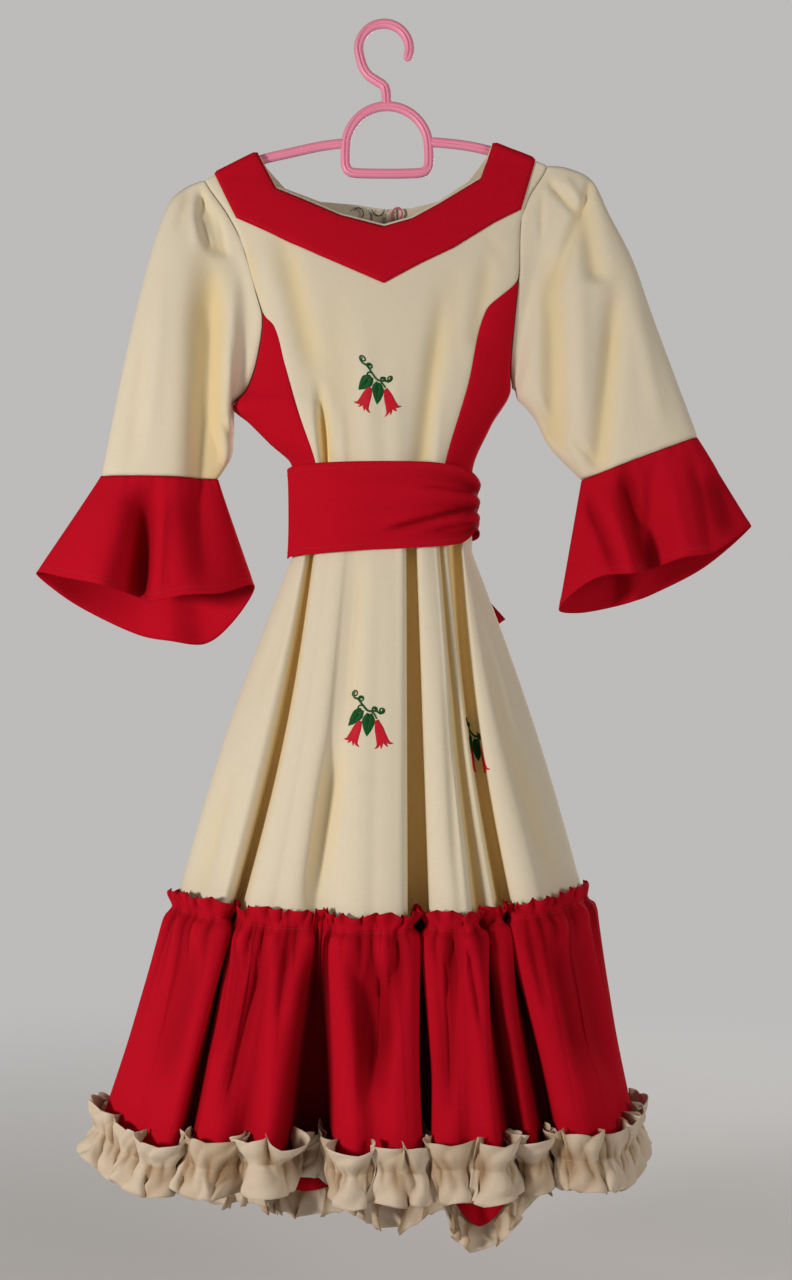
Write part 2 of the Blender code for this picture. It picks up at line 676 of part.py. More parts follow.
def skirt_ring(share, places):
    """Section of the skirt at a share of its height; the sash holds it in above SKIRT_HELD."""
    waist, seam = waist_knots(), seam_knots()
    flare = max(0.0, (share - SKIRT_HELD) / (1 - SKIRT_HELD))
    knots = waist + (seam - waist) * flare
    knots[:, 0] += FOLDS["bow"] * math.sin(math.pi * min(flare, 1.0))
    knots[:, 2] = waist[:, 2] + (seam[:, 2] - waist[:, 2]) * share
    return spline(knots, places)


def flounce_ring(below, places):
    """Section of the flounce below its stitch line, before its gathers; above that line it is the skirt's."""
    seam, hem = seam_knots(), hem_knots()
    if below < 0:
        return skirt_ring(1 + below / (WAIST_Z - seam[:, 2].mean()), places)
    return spline(seam + (hem - seam) * (below / FLOUNCE_ROWS["below_seam"][-1]), places)


def wave_places():
    """Places of the gathers' points right round, and how many of them are in front."""
    knots = (seam_knots() + hem_knots()) / 2
    front = even_places(knots, LEFT_SIDE_FOLD, RIGHT_SIDE_FOLD, FRONT_WAVES * POINTS_A_WAVE)
    back = even_places(knots, RIGHT_SIDE_FOLD, FOLD_COUNT, BACK_WAVES * POINTS_A_WAVE)
    return np.concatenate([front, back[1:-1]]), len(front)


def add_skirt(finishes, collection):
    """The skirt has every second point of the gathers, so the flounce lies evenly on it."""
    places, split = wave_places()
    places = np.append(places, FOLD_COUNT)
    centre = int(np.argmin(np.abs(places - CENTRE_BACK_FOLD)))
    centre -= centre % 2
    half = SEAM_GAP / 2
    for name, first, last in (
        ("skirt_front", 0, split - 1),
        ("skirt_back_right", split - 1, centre),
        ("skirt_back_left", centre, len(places) - 1),
    ):
        chosen = places[first : last + 1 : 2]
        rows = [skirt_ring(share, chosen) for share in SKIRT_ROWS]
        rows += [flounce_ring(0.0, chosen), flounce_ring(SKIRT_UNDERLAP, chosen)]
        cloth(name, trim(np.stack(rows), BEND_GAP, BEND_GAP, half, 0), finishes["cream"], collection)


def gather_wave(count, seed):
    """One number a point, from -1 to 1: soft waves of uneven height."""
    number = np.arange(count) / POINTS_A_WAVE
    uneven = 0.8 + 0.2 * np.sin(number * 2.4 + seed) * np.cos(number * 1.1 + 2 * seed)
    return np.cos(number * 2 * math.pi) * uneven


def free_distance(ring, most=20.0):
    """How far each point of a section can move out before it comes nearer to another part of a fold."""
    flat = ring[:, :2]
    across = np.roll(flat, -1, axis=0) - np.roll(flat, 1, axis=0)
    normal = np.stack([across[:, 1], -across[:, 0]], axis=-1)
    normal /= np.linalg.norm(normal, axis=1, keepdims=True)
    found = np.zeros(len(flat))
    for distance in np.arange(1.0, most):
        moved = flat + normal * distance
        nearest = np.linalg.norm(moved[:, None] - flat[None], axis=2).min(axis=1)
        found[(nearest >= 0.93 * distance) & (found == distance - 1)] = distance
    return np.minimum(found, np.minimum(np.roll(found, 1), np.roll(found, -1)) + 2)


def add_flounce(finishes, collection):
    places, split = wave_places()
    rings = np.stack([flounce_ring(below, places) for below in FLOUNCE_ROWS["below_seam"]])
    on_skirt = FLOUNCE_ROWS["below_seam"] <= 0
    rings[on_skirt, 1::2] = (rings[on_skirt, 0::2] + np.roll(rings[on_skirt, 0::2], -1, axis=1)) / 2
    wave = gather_wave(len(places), 0.7)
    lift = FLOUNCE_ROWS["lift"][:, None] + wave * FLOUNCE_ROWS["gather"][:, None]
    least = np.where(on_skirt, LAID_ON + 0.6, 0)[:, None]
    grid = move_out(rings, np.maximum(np.minimum(lift, LEAST_ROOM * free_distance(rings[1])), least))
    split_ring("flounce", grid, split, finishes["red"], collection)
    add_hem_ruffle(grid[-2:], split, finishes, collection)


def add_hem_ruffle(flounce_end, split, finishes, collection):
    """A strip gathered along its middle on the flounce's edge, standing out above and below it."""
    above, line = flounce_end
    down = (line - above) / np.linalg.norm(line - above, axis=1, keepdims=True)
    rows = np.stack([line + down * below for below in RUFFLE_ROWS["below_line"]])
    wave = gather_wave(line.shape[0], 2.1)
    lift = RUFFLE_ROWS["lift"][:, None] + wave * RUFFLE_ROWS["wave"][:, None]
    out = np.maximum(np.minimum(lift, LEAST_ROOM * free_distance(line)), RUFFLE_ROWS["least"][:, None])
    grid = move_out(rows, out)
    grid[0, :, 2] += RUFFLE_NOD * np.roll(wave, 1)
    grid[-1, :, 2] += RUFFLE_NOD * np.roll(wave, 2)
    split_ring("hem_ruffle", grid, split, finishes["ruffle"], collection)


def split_ring(name, grid, split, finish, collection):
    """A ring as a front and a back strip that meet at the side seams."""
    front = grid[:, :split]
    back = np.concatenate([grid[:, split - 1 :], grid[:, :1]], axis=1)
    cloth(name + "_front", trim(front, BEND_GAP, BEND_GAP), finish, collection)
    cloth(name + "_back", trim(back, BEND_GAP, BEND_GAP), finish, collection)


# Sash, knot and tails

def sash_section(turn):
    """Points of the waist's section at shares of the way round from the left side."""
    angle = math.pi - turn * 2 * math.pi
    left, right = LEFT_SIDE["x"][-1] - SASH_BEYOND_SIDE, RIGHT_SIDE["x"][-1] + SASH_BEYOND_SIDE
    half_width, middle = (right - left) / 2, (right + left) / 2
    depth = np.where(np.sin(angle) > 0, BODY_DEPTH["front"][-1], BODY_DEPTH["back"][-1])
    x = middle + half_width * np.sign(np.cos(angle)) * np.abs(np.cos(angle)) ** 0.8
    y = -depth * np.sign(np.sin(angle)) * np.abs(np.sin(angle)) ** 0.8
    return np.stack([x, y], axis=-1)


def add_sash(finishes, collection):
    turn = np.linspace(0, 1, SASH_COLUMNS, endpoint=False)
    section = sash_section(turn)
    z_top, z_bottom, pleat = (
        np.interp(turn, SASH_EDGES["place"], SASH_EDGES[column]) for column in ("z_top", "z_bottom", "pleat")
    )
    down = np.linspace(0, 1, SASH_LINES)[:, None]
    z = z_top + (z_bottom - z_top) * down
    grid = np.concatenate([np.broadcast_to(section, (*z.shape, 2)), z[..., None]], axis=-1)
    lift = SASH_OFF + pleat * (1 + np.cos(down * 2 * math.pi * SASH_PLEATS)) / 2
    lift += SASH_EDGE_LIFT * np.abs(2 * down - 1) ** 3
    cloth("sash", move_out(grid, lift), finishes["red"], collection, ring=True)
    knot_y = BODY_DEPTH["back"][-1] + SASH_OFF + KNOT_BEHIND_SASH + KNOT_HALF[1] + CLOTH_WALL
    add_knot(knot_y, finishes, collection)
    add_tails(knot_y, finishes, collection)


def add_knot(knot_y, finishes, collection):
    mesh = bpy.data.meshes.new("sash_knot")
    shape = bmesh.new()
    bmesh.ops.create_uvsphere(shape, u_segments=14, v_segments=9, radius=1.0)
    for vertex in shape.verts:
        x, y, z = vertex.co
        crease = 1 - 0.12 * math.cos(5 * math.atan2(z, x))
        vertex.co = (
            (KNOT_CENTRE[0] + KNOT_HALF[0] * x * crease) * MM,
            (knot_y + KNOT_HALF[1] * y) * MM,
            (KNOT_CENTRE[1] + KNOT_HALF[2] * z * crease) * MM,
        )
    shape.to_mesh(mesh)
    shape.free()
    mesh.materials.append(finishes["red"])
    mesh.shade_smooth()
    collection.objects.link(bpy.data.objects.new("sash_knot", mesh))


def add_tails(knot_y, finishes, collection):
    """Two fluted strips that leave the back of the knot and hang down beside each other."""
    for i, name in enumerate(("left", "right")):
        start = np.array((TAILS["x_top"][i], TAILS["z_top"][i]))
        end = np.array((TAILS["x_end"][i], TAILS["z_end"][i]))
        way = (end - start) / np.linalg.norm(end - start)
        side = np.array((-way[1], way[0]))
        down = np.linspace(0, 1, 8)[:, None]
        across = np.linspace(-0.5, 0.5, 6)[None]
        width = TAIL_WIDTH[0] + (TAIL_WIDTH[1] - TAIL_WIDTH[0]) * down
        x = start[0] + (end - start)[0] * down + side[0] * across * width
        z = start[1] + (end - start)[1] * down + side[1] * across * width
        y = knot_y + TAIL_DRIFT * down + TAILS["over_knot"][i] * (1 - smoothstep(down / 0.3))
        y = y + TAIL_FLUTE * np.cos(across * 3 * math.pi + i) * (1 - 0.4 * down)
        cloth("sash_tail_" + name, np.stack([x, y, z], axis=-1), finishes["red"], collection)


# Hanger

def bar(name, points, collection, cyclic=False, end_scale=1.0):
    """A round bar along points (x, z) in the plane of the hanger."""
    curve = bpy.data.curves.new(name, "CURVE")
    curve.dimensions = "3D"
    curve.bevel_depth = BAR_RADIUS * MM
    curve.bevel_resolution = 2
    curve.use_fill_caps = True
    line = curve.splines.new("POLY")
    line.points.add(len(points) - 1)
    for i, (x, z) in enumerate(points):
        line.points[i].co = (x * MM, 0.0, z * MM, 1.0)
        line.points[i].radius = 1 + (end_scale - 1) * smoothstep((i / (len(points) - 1) - 0.4) / 0.6)
    line.use_cyclic_u = cyclic
    guide = bpy.data.objects.new(name, curve)
    collection.objects.link(guide)
    graph = bpy.context.evaluated_depsgraph_get()
    mesh = bpy.data.meshes.new_from_object(guide.evaluated_get(graph))
    bpy.data.objects.remove(guide)
    welded = bmesh.new()
    welded.from_mesh(mesh)
    bmesh.ops.remove_doubles(welded, verts=welded.verts, dist=0.00001)
    welded.to_mesh(mesh)
    welded.free()
    made = bpy.data.objects.new(name, mesh)
    collection.objects.link(made)
    return made


def arc(centre, radius, start, end, steps):
    angles = np.radians(np.linspace(start, end, steps + 1))
    return [(centre[0] + radius * math.cos(a), centre[1] + radius * math.sin(a)) for a in angles]


def hanger_hook():
    points = arc(HOOK_CENTRE, HOOK_RADIUS, -28, 200, 15)
    return points + [(-20.5, -36.5), (-15.5, -44.5), (-7.0, -50.5), (0.2, -55.5), (2.0, -62.0), (2.4, -76.0)]


def hanger_loop():
    centre, half_width, corner, low = (3.0, -114.5), 39.9, 8.0, -138.6
    left, right = centre[0] - half_width, centre[0] + half_width
    points = arc(centre, half_width, 0, 180, 12)
    points += arc((left + corner, low + corner), corner, 180, 270, 3)
    return points + arc((right - corner, low + corner), corner, 270, 360, 3)


def hanger_arm(sign):
    """From inside the loop's side, under the shoulder seam, to the rounded end in the sleeve's head."""
    if sign < 0:
        seen = [(-37, -110), (-60, -113), (-90, -119.5)]
        seam = [(x, float(shoulder_line(x)) - ARM_BELOW_SEAM) for x in (-121, -145, -171)]
        return seen + seam + [(-187, -161.5), (-195, -166)]
    seen = [(43, -109), (62, -110.5), (84, -113.5)]
    seam = [(x, float(shoulder_line(x)) - ARM_BELOW_SEAM) for x in (105, 130, 156)]
    return seen + seam + [(174, -146), (186, -151)]


def add_hanger(finishes, collection, helpers):
    body = bar("hanger", hanger_loop(), collection, cyclic=True)
    others = [
        bar("hook", hanger_hook(), helpers),
        bar("arm_left", hanger_arm(-1), helpers, end_scale=ARM_END_SCALE),
        bar("arm_right", hanger_arm(1), helpers, end_scale=ARM_END_SCALE),
    ]
    for other in others:
        other.hide_render = True
        other.display_type = "WIRE"
        join = body.modifiers.new(other.name, "BOOLEAN")
        join.operation = "UNION"
        join.object = other
    body.data.materials.append(finishes["pink"])
    body.data.shade_smooth()


def main():
    for old in list(bpy.data.objects):
        bpy.data.objects.remove(old)
    dress = bpy.data.collections.new("Huasa dress")
    helpers = bpy.data.collections.new("Hanger bars")
    for made in (dress, helpers):
        bpy.context.scene.collection.children.link(made)
    finishes = {
        "cream": material("cream_cloth", CREAM, 0.8),
        "red": material("red_cloth", RED, 0.7),
        "ruffle": material("ruffle_cloth", RUFFLE_CREAM, 0.85),
        "pink": material("pink_plastic", PINK, 0.3),
    }
    add_bodice(finishes, dress)
    add_neck_band(finishes, dress)
    add_sleeves(finishes, dress)
    add_skirt(finishes, dress)
    add_flounce(finishes, dress)
    add_sash(finishes, dress)
    add_hanger(finishes, dress, helpers)


main()
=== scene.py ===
# %% [markdown]
# # A huasa dress on a child's plastic hanger
#
# The dress hangs from the hanger's hook, so the origin is the point of the hook that bears on a rail. The
# solids of the part are loaded first and never moved. Every piece of cloth is then built again, much finer,
# on the same form. The tables are in millimetres, as a dressmaker would write them, and MM turns them into
# metres. Left and right are the viewer's, +Y points away from the viewer and +Z is up.

# %% Tools and the fixed frame
import math

import bpy
import numpy as np
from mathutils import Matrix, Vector


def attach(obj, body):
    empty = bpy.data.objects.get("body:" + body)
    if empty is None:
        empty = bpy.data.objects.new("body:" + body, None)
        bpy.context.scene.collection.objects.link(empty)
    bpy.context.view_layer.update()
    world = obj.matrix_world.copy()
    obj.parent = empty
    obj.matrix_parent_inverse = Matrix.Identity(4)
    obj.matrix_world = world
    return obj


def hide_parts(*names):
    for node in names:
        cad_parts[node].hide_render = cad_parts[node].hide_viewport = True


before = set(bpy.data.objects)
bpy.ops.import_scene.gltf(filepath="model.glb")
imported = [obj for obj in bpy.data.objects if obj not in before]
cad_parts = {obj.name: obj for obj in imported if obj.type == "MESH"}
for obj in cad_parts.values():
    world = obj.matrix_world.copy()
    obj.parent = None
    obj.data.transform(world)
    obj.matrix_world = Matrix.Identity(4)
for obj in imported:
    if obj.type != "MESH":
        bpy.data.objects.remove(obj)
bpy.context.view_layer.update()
MM = 0.001


def put_in_scene(name, data):
    """A new object at the origin that shows a mesh, a lamp or a camera."""
    made = bpy.data.objects.new(name, data)
    bpy.context.scene.collection.objects.link(made)
    return made


def select_only(*pieces):
    """Selects these objects and nothing else; the first of them is the active one."""
    for other in bpy.context.selected_objects:
        other.select_set(False)
    for piece in pieces:
        piece.select_set(True)
    bpy.context.view_layer.objects.active = pieces[0]


# %% Nodes
def plain_material(name, colour, roughness):
    made = bpy.data.materials.new(name)
    made.use_nodes = True
    shader = made.node_tree.nodes["Principled BSDF"]
    shader.inputs["Base Color"].default_value = (*colour, 1.0)
    shader.inputs["Roughness"].default_value = roughness
    return made


def add_node(tree, kind, inputs=None, **settings):
    """A new node; each input takes a value of its own or another node's output."""
    node = tree.nodes.new("ShaderNode" + kind)
    for name, value in settings.items():
        setattr(node, name, value)
    for name, value in (inputs or {}).items():
        if isinstance(value, bpy.types.NodeSocket):
            tree.links.new(value, node.inputs[name])
        else:
            node.inputs[name].default_value = value
    return node


def object_place(tree):
    return add_node(tree, "TexCoord").outputs["Object"]


# %% [markdown]
# ## The view
#
# A lens is chosen by the angle that the picture spans. The height of the picture spans about 45 degrees, so a
# film 24 mm high needs a lens a little over 29 mm. The camera stands 1.5 m in front, level with the middle of
# the picture, and looks straight along +Y, which keeps upright lines upright.

# %% Camera
VIEW_DISTANCE = 1.5
VIEW_MIDDLE = (0.0115, -0.587)
lens = bpy.data.cameras.new("camera")
lens.sensor_fit = "VERTICAL"
lens.sensor_height = 24.0
lens.lens = 29.3
camera = put_in_scene("camera", lens)
camera.location = (VIEW_MIDDLE[0], -VIEW_DISTANCE, VIEW_MIDDLE[1])
camera.rotation_euler = (math.radians(90), 0, 0)
bpy.context.scene.camera = camera
print("view angle, degrees:", round(math.degrees(lens.angle_y), 2))

# %% [markdown]
# ## Floor and light
#
# A dress on a hanger is lit as in a small studio: one large soft lamp in front and to the left makes the
# folds read, a weaker one fills the right, and the pale surroundings light the rest. The surroundings are a
# plain world colour, so nothing stands behind the dress and it can be looked at from all sides.

# %% Floor
def pale_floor(full_within, gone_beyond):
    """A pale matt floor that fades into the surroundings between two distances from its middle."""
    made = plain_material("pale_floor", (0.6, 0.59, 0.58), 0.9)
    tree = made.node_tree
    distance = add_node(tree, "VectorMath", {0: object_place(tree)}, operation="LENGTH")
    fade = add_node(tree, "MapRange", {
        "Value": distance.outputs["Value"], "From Min": full_within, "From Max": gone_beyond,
    }, interpolation_type="SMOOTHSTEP")
    blend = add_node(tree, "MixShader", {
        "Fac": fade.outputs["Result"],
        1: tree.nodes["Principled BSDF"].outputs["BSDF"],
        2: add_node(tree, "BsdfTransparent").outputs["BSDF"],
    })
    tree.links.new(blend.outputs["Shader"], tree.nodes["Material Output"].inputs["Surface"])
    return made


FLOOR_Z, FLOOR_SIZE = -1.33, 8
bpy.ops.mesh.primitive_plane_add(size=FLOOR_SIZE, location=(0, 0, FLOOR_Z))
floor = bpy.context.object
floor.name = "floor"
floor.data.materials.append(pale_floor(0.4, 1.9))
print("floor:", FLOOR_SIZE, "m wide, at height", FLOOR_Z)

# %% Lamps and surroundings
bpy.context.scene.view_settings.view_transform = "Standard"
surroundings = bpy.data.worlds.new("surroundings")
surroundings.use_nodes = True
tree = surroundings.node_tree
background = tree.nodes["Background"]
background.inputs["Color"].default_value = (0.51, 0.50, 0.49, 1.0)
seen = add_node(tree, "LightPath").outputs["Is Camera Ray"]
strength = add_node(tree, "MapRange", {"Value": seen, "To Min": 0.35, "To Max": 1.0})
tree.links.new(strength.outputs["Result"], background.inputs["Strength"])
bpy.context.scene.world = surroundings


def lamp(name, place, target, size, power, warmth):
    light = bpy.data.lights.new(name, "AREA")
    light.shape = "DISK"
    light.size = size
    light.energy = power
    light.color = warmth
    stand = put_in_scene(name, light)
    stand.location = place
    stand.rotation_euler = (Vector(target) - Vector(place)).to_track_quat("-Z", "Y").to_euler()
    print(f"{name}: {power} watts, {size} m across")


lamp("key_lamp", (-1.75, -1.5, -0.55), (0, 0, -0.78), 0.4, 37, (1.0, 0.97, 0.93))
lamp("fill_lamp", (1.9, -1.7, -0.3), (0, 0, -0.7), 1.0, 18, (1.0, 0.97, 0.94))
lamp("back_lamp", (1.0, 2.3, 0.0), (0, 0, -0.6), 1.6, 36, (1.0, 0.97, 0.94))

# %% [markdown]
# ## Cloth finishes
#
# The dress is sewn from one matt plain weave in three colours. A plain weave is two sets of threads, so two
# bands of fine waves across each other give its relief, and a stretched noise gives the slubs, where a thread
# is thicker. Both follow the piece's own UV map, which is laid out in metres along the threads. Folds get
# painted shade: the colour is mixed towards a warmer, darker colour in slight folds and towards another in
# deep folds, which stands in for light that reaches them only after it has passed from cloth to cloth. That
# painted shade follows an attribute of the mesh that says how deep a point lies in a fold.

# %% Node helpers
def math_node(tree, operation, first, second, **settings):
    return add_node(tree, "Math", {0: first, 1: second}, operation=operation, **settings).outputs[0]


def blend_colours(tree, factor, first, second):
    """From the first colour to the second; each is a tuple or a node's output."""
    inputs = {"Factor": factor}
    for name, value in (("A", first), ("B", second)):
        inputs[name] = (*value, 1.0) if isinstance(value, tuple) else value
    return add_node(tree, "Mix", inputs, data_type="RGBA").outputs["Result"]


def noise_node(tree, vector, scale, stretch=(1.0, 1.0, 1.0), detail=2.0):
    place = add_node(tree, "Mapping", {"Vector": vector, "Scale": stretch}).outputs["Vector"]
    return add_node(tree, "TexNoise", {"Vector": place, "Scale": scale, "Detail": detail}).outputs["Fac"]


def thread_map(tree):
    return add_node(tree, "UVMap", uv_map="threads").outputs["UV"]


def thread_wave(tree, vector, direction, pitch):
    """Fine parallel threads: a wave across the cloth with this pitch in metres."""
    scale = 2 * math.pi / (20 * pitch)
    wave = add_node(
        tree, "TexWave", {"Vector": vector, "Scale": scale}, wave_type="BANDS", bands_direction=direction
    )
    return wave.outputs["Fac"]


def raise_surface(tree, height, strength, distance):
    """Gives a finish its relief: height 1 stands this distance proud, in metres."""
    relief = add_node(tree, "Bump", {"Height": height, "Strength": strength, "Distance": distance})
    tree.links.new(relief.outputs["Normal"], tree.nodes["Principled BSDF"].inputs["Normal"])


# %% Woven cloth
THREAD_PITCH = 0.00055


def woven_cloth(name, colour, lighter, darker, in_shade, in_fold, roughness, sheen, gloss):
    """Plain weave in three shades of its colour, with painted shade in one colour for slight folds and
    another for deep folds.
    """
    made = plain_material(name, colour, roughness)
    tree = made.node_tree
    shader = tree.nodes["Principled BSDF"]
    shader.inputs["Sheen Weight"].default_value = sheen
    shader.inputs["Sheen Roughness"].default_value = 0.45
    shader.inputs["Specular IOR Level"].default_value = gloss
    uv = thread_map(tree)
    slub = noise_node(tree, uv, 900.0, (1.0, 0.09, 1.0))
    cross_slub = noise_node(tree, uv, 700.0, (0.09, 1.0, 1.0))
    cloud = noise_node(tree, uv, 9.0, detail=3.0)
    threads = math_node(tree, "MULTIPLY", math_node(tree, "ADD", slub, cross_slub), 0.5)
    shade = blend_colours(tree, threads, darker, lighter)
    shade = blend_colours(tree, math_node(tree, "MULTIPLY", cloud, 0.5), shade, colour)
    # Painted shade: by how deep a point lies in a fold, the colour is mixed towards the slight-fold colour
    # and then the deep-fold colour.
    depth = add_node(tree, "Attribute", attribute_name="in_fold").outputs["Fac"]
    slight = math_node(tree, "MULTIPLY", depth, 2.0, use_clamp=True)
    deep = math_node(tree, "MULTIPLY", math_node(tree, "SUBTRACT", depth, 0.5), 2.0, use_clamp=True)
    shade = blend_colours(tree, slight, shade, in_shade)
    shade = blend_colours(tree, deep, shade, in_fold)
    tree.links.new(shade, shader.inputs["Base Color"])
    across, along = (thread_wave(tree, uv, direction, THREAD_PITCH) for direction in "XY")
    weave = math_node(tree, "ADD", math_node(tree, "MULTIPLY", across, along), threads)
    raise_surface(tree, weave, 0.35, 0.00025)
    return made


# Each cloth: its colour, its lighter and darker threads, its painted shade colours for slight and for deep
# folds, roughness, sheen and gloss.
CLOTHS = {
    "cream_cloth": (
        (0.74, 0.65, 0.49), (0.80, 0.71, 0.55), (0.67, 0.58, 0.42), (0.76, 0.60, 0.33), (0.99, 0.74, 0.33),
        0.82, 0.12, 0.2,
    ),
    "red_cloth": (
        (0.50, 0.003, 0.014), (0.57, 0.005, 0.02), (0.40, 0.002, 0.009), (0.27, 0.001, 0.006),
        (0.12, 0.0005, 0.003), 0.85, 0.0, 0.05,
    ),
    "ruffle_cloth": (
        (0.64, 0.52, 0.39), (0.71, 0.59, 0.46), (0.55, 0.43, 0.31), (0.46, 0.33, 0.21), (0.30, 0.18, 0.09),
        0.86, 0.1, 0.15,
    ),
}
finishes = {name: woven_cloth(name, *looks) for name, looks in CLOTHS.items()}
print("cloth finishes:", ", ".join(finishes))

# %% [markdown]
# ## How a piece of cloth is made here
#
# A pattern piece is a grid of points: its rows run round the body and its columns run down it. The grid is
# computed from the tables, so that folds fall where they should, and a thin wall is then given to it with
# Solidify. A cloth simulation could hang the dress too, but it would not keep each fold where it belongs, so
# the folds are placed one by one.

# %% Tables
CLOTH_WALL = 0.8  # cloth with its lining or seam allowance
THIN_WALL, SASH_WALL = 0.5, 1.2  # facing and tapes, and the sash's layers
SOLID_WALL = 1.6
SEAM_GAP, ARMHOLE_GAP, BEND_GAP = 0.3, 0.45, 0.7
LAID_ON = SOLID_WALL + SEAM_GAP
EDGE_TRIM = 0.02
MOST_MITRE = 1.8
LEAST = 1e-9  # keeps a length of nothing from being divided by
STEPS_A_KNOT = 40


def table(columns, *rows):
    """Named columns of a table whose rows start with a label."""
    names = columns.split()
    return {name: np.array([row[i + 1] for row in rows], float) for i, name in enumerate(names)}


def points_of(rows, columns="x y z"):
    return np.stack([rows[name] for name in columns.split()], axis=-1)


print("walls in millimetres: cloth", CLOTH_WALL, "its solid", SOLID_WALL)


# %% Lengths and directions
def smoothstep(value):
    value = np.clip(value, 0.0, 1.0)
    return value * value * (3 - 2 * value)


def unit(ways, least=0.0):
    """The same ways, each 1 long."""
    return ways / (np.linalg.norm(ways, axis=-1, keepdims=True) + least)


def run_along(points, axis=0):
    """How far along its line each point lies."""
    start = np.take(points, [0], axis=axis)
    return np.cumsum(np.linalg.norm(np.diff(points, axis=axis, prepend=start), axis=-1), axis=axis)


def in_even_steps(points, values, count):
    """What the values are at the ends of count equal steps along a line of points."""
    length = run_along(points)
    return np.interp(np.linspace(0, length[-1], count + 1), length, values)


def way_round(ring, axis=1):
    """At each point of a closed ring, the way from the point before it to the point after it."""
    return np.roll(ring, -1, axis=axis) - np.roll(ring, 1, axis=axis)


# %% Smooth curves
def cubic(share, start, end, leaving, arriving):
    """The smooth curve between two points that leaves and arrives as these ways say."""
    square, cube = share**2, share**3
    return ((2 * cube - 3 * square + 1) * start + (cube - 2 * square + share) * leaving
            + (3 * square - 2 * cube) * end + (cube - square) * arriving)


def glide(at, values, x):
    """The value at x on a smooth curve through the points of a table that never overshoots them."""
    at, values, x = np.asarray(at, float), np.asarray(values, float), np.asarray(x, float)
    step = np.diff(at)
    slope = np.diff(values) / step
    before, after = slope[:-1], slope[1:]
    same_way = before * after > 0
    safe_before, safe_after = np.where(same_way, before, 1.0), np.where(same_way, after, 1.0)
    near, far = 2 * step[1:] + step[:-1], step[1:] + 2 * step[:-1]
    slopes = np.concatenate([
        slope[:1], np.where(same_way, (near + far) / (near / safe_before + far / safe_after), 0.0), slope[-1:]
    ])
    i = np.clip(np.searchsorted(at, x, side="right") - 1, 0, len(step) - 1)
    share = np.clip((x - at[i]) / step[i], 0, 1)
    return cubic(share, values[i], values[i + 1], step[i] * slopes[i], step[i] * slopes[i + 1])


def at_height(rows, z, column="x"):
    """A column of a table at a height; its rows run downwards."""
    return glide(-rows["z"], rows[column], -np.asarray(z, float))


def spline(knots, places):
    """Points of the smooth closed curve through the knots; place 2.5 lies between knots 2 and 3."""
    knots, places = np.asarray(knots, float), np.asarray(places, float)
    index = np.floor(places).astype(int)
    before, start, end, after = (knots[(index + step) % len(knots)] for step in (-1, 0, 1, 2))
    spans = [np.sqrt(np.linalg.norm(b - a, axis=1, keepdims=True)) + LEAST
             for a, b in ((before, start), (start, end), (end, after))]
    chord = end - start
    leaving = chord + spans[1] * ((start - before) / spans[0] - (end - before) / (spans[0] + spans[1]))
    arriving = chord + spans[1] * ((after - end) / spans[2] - (after - start) / (spans[1] + spans[2]))
    return cubic((places - index)[:, None], start, end, leaving, arriving)


def even_places(knots, first, last, count):
    """Places that cut the curve from knot first to knot last into count pieces of the same length."""
    fine = np.linspace(first, last, STEPS_A_KNOT * (last - first) + 1)
    return in_even_steps(spline(knots, fine), fine, count)


def smooth_path(points, step, closed=False):
    """Points along the smooth line through the given ones, about a step apart."""
    points = np.array(points, float)
    if closed:
        knots, last = points, len(points)
    else:
        knots = np.concatenate([[2 * points[0] - points[1]], points, [2 * points[-1] - points[-2]]])
        last = len(points)
    fine = np.linspace(0 if closed else 1, last, STEPS_A_KNOT * last + 1)
    line = spline(knots, fine)
    count = int(round(run_along(line)[-1] / step))
    path = spline(knots, in_even_steps(line, fine, count))
    return path[:-1] if closed else path


print("a smooth arch through 3 points has", len(smooth_path([(0, 0), (10, 8), (20, 0)], 1.0)), "points")


# %% Finer grids
def finer_rings(grid, factor):
    """Each ring of a grid with factor times as many points, on the smooth curve through its points."""
    places = np.arange(grid.shape[1] * factor) / factor
    return np.stack([spline(ring, places) for ring in grid])


def finer_rows(rings, places):
    """Rows at places between the rings of a grid, on the smooth curves down through its points."""
    ends = np.concatenate([2 * rings[:1] - rings[1:2], rings, 2 * rings[-1:] - rings[-2:-1]])
    index = np.clip(np.floor(places).astype(int), 0, len(rings) - 2)
    t = (places - index)[:, None, None]
    before, start, end, after = (ends[index + step] for step in (0, 1, 2, 3))
    bend = 2 * before - 5 * start + 4 * end - after + t * (3 * (start - end) + after - before)
    return start + 0.5 * t * (end - before + t * bend)


# %% Moving and trimming cloth
def ring_normals(grid, ring=True):
    """Unit normals of a grid, whose rows are closed rings or open lines."""
    across = way_round(grid) if ring else np.gradient(grid, axis=1)
    return unit(np.cross(np.gradient(grid, axis=0), across), LEAST)


def move_out(grid, distance):
    """Moves rings of cloth outwards; a point on a bend goes further, so the lines beside it stay clear."""
    after = unit(np.roll(grid, -1, axis=1) - grid)
    straight = (after * np.roll(after, 1, axis=1)).sum(axis=2)
    mitre = np.minimum(np.sqrt(2 / (1.001 + straight)), MOST_MITRE)
    return grid + ring_normals(grid) * (distance * mitre)[..., None]


def trim(grid, left=0.0, right=0.0, top=0.0, bottom=0.0):
    """Draws the edges of a grid in by these distances, along its own lines."""
    grid = grid.copy()
    for distance, edge, inner in (
        (left, np.s_[:, 0], np.s_[:, 1]),
        (right, np.s_[:, -1], np.s_[:, -2]),
        (top, np.s_[0], np.s_[1]),
        (bottom, np.s_[-1], np.s_[-2]),
    ):
        grid[edge] += distance * unit(grid[inner] - grid[edge], LEAST)
    return grid


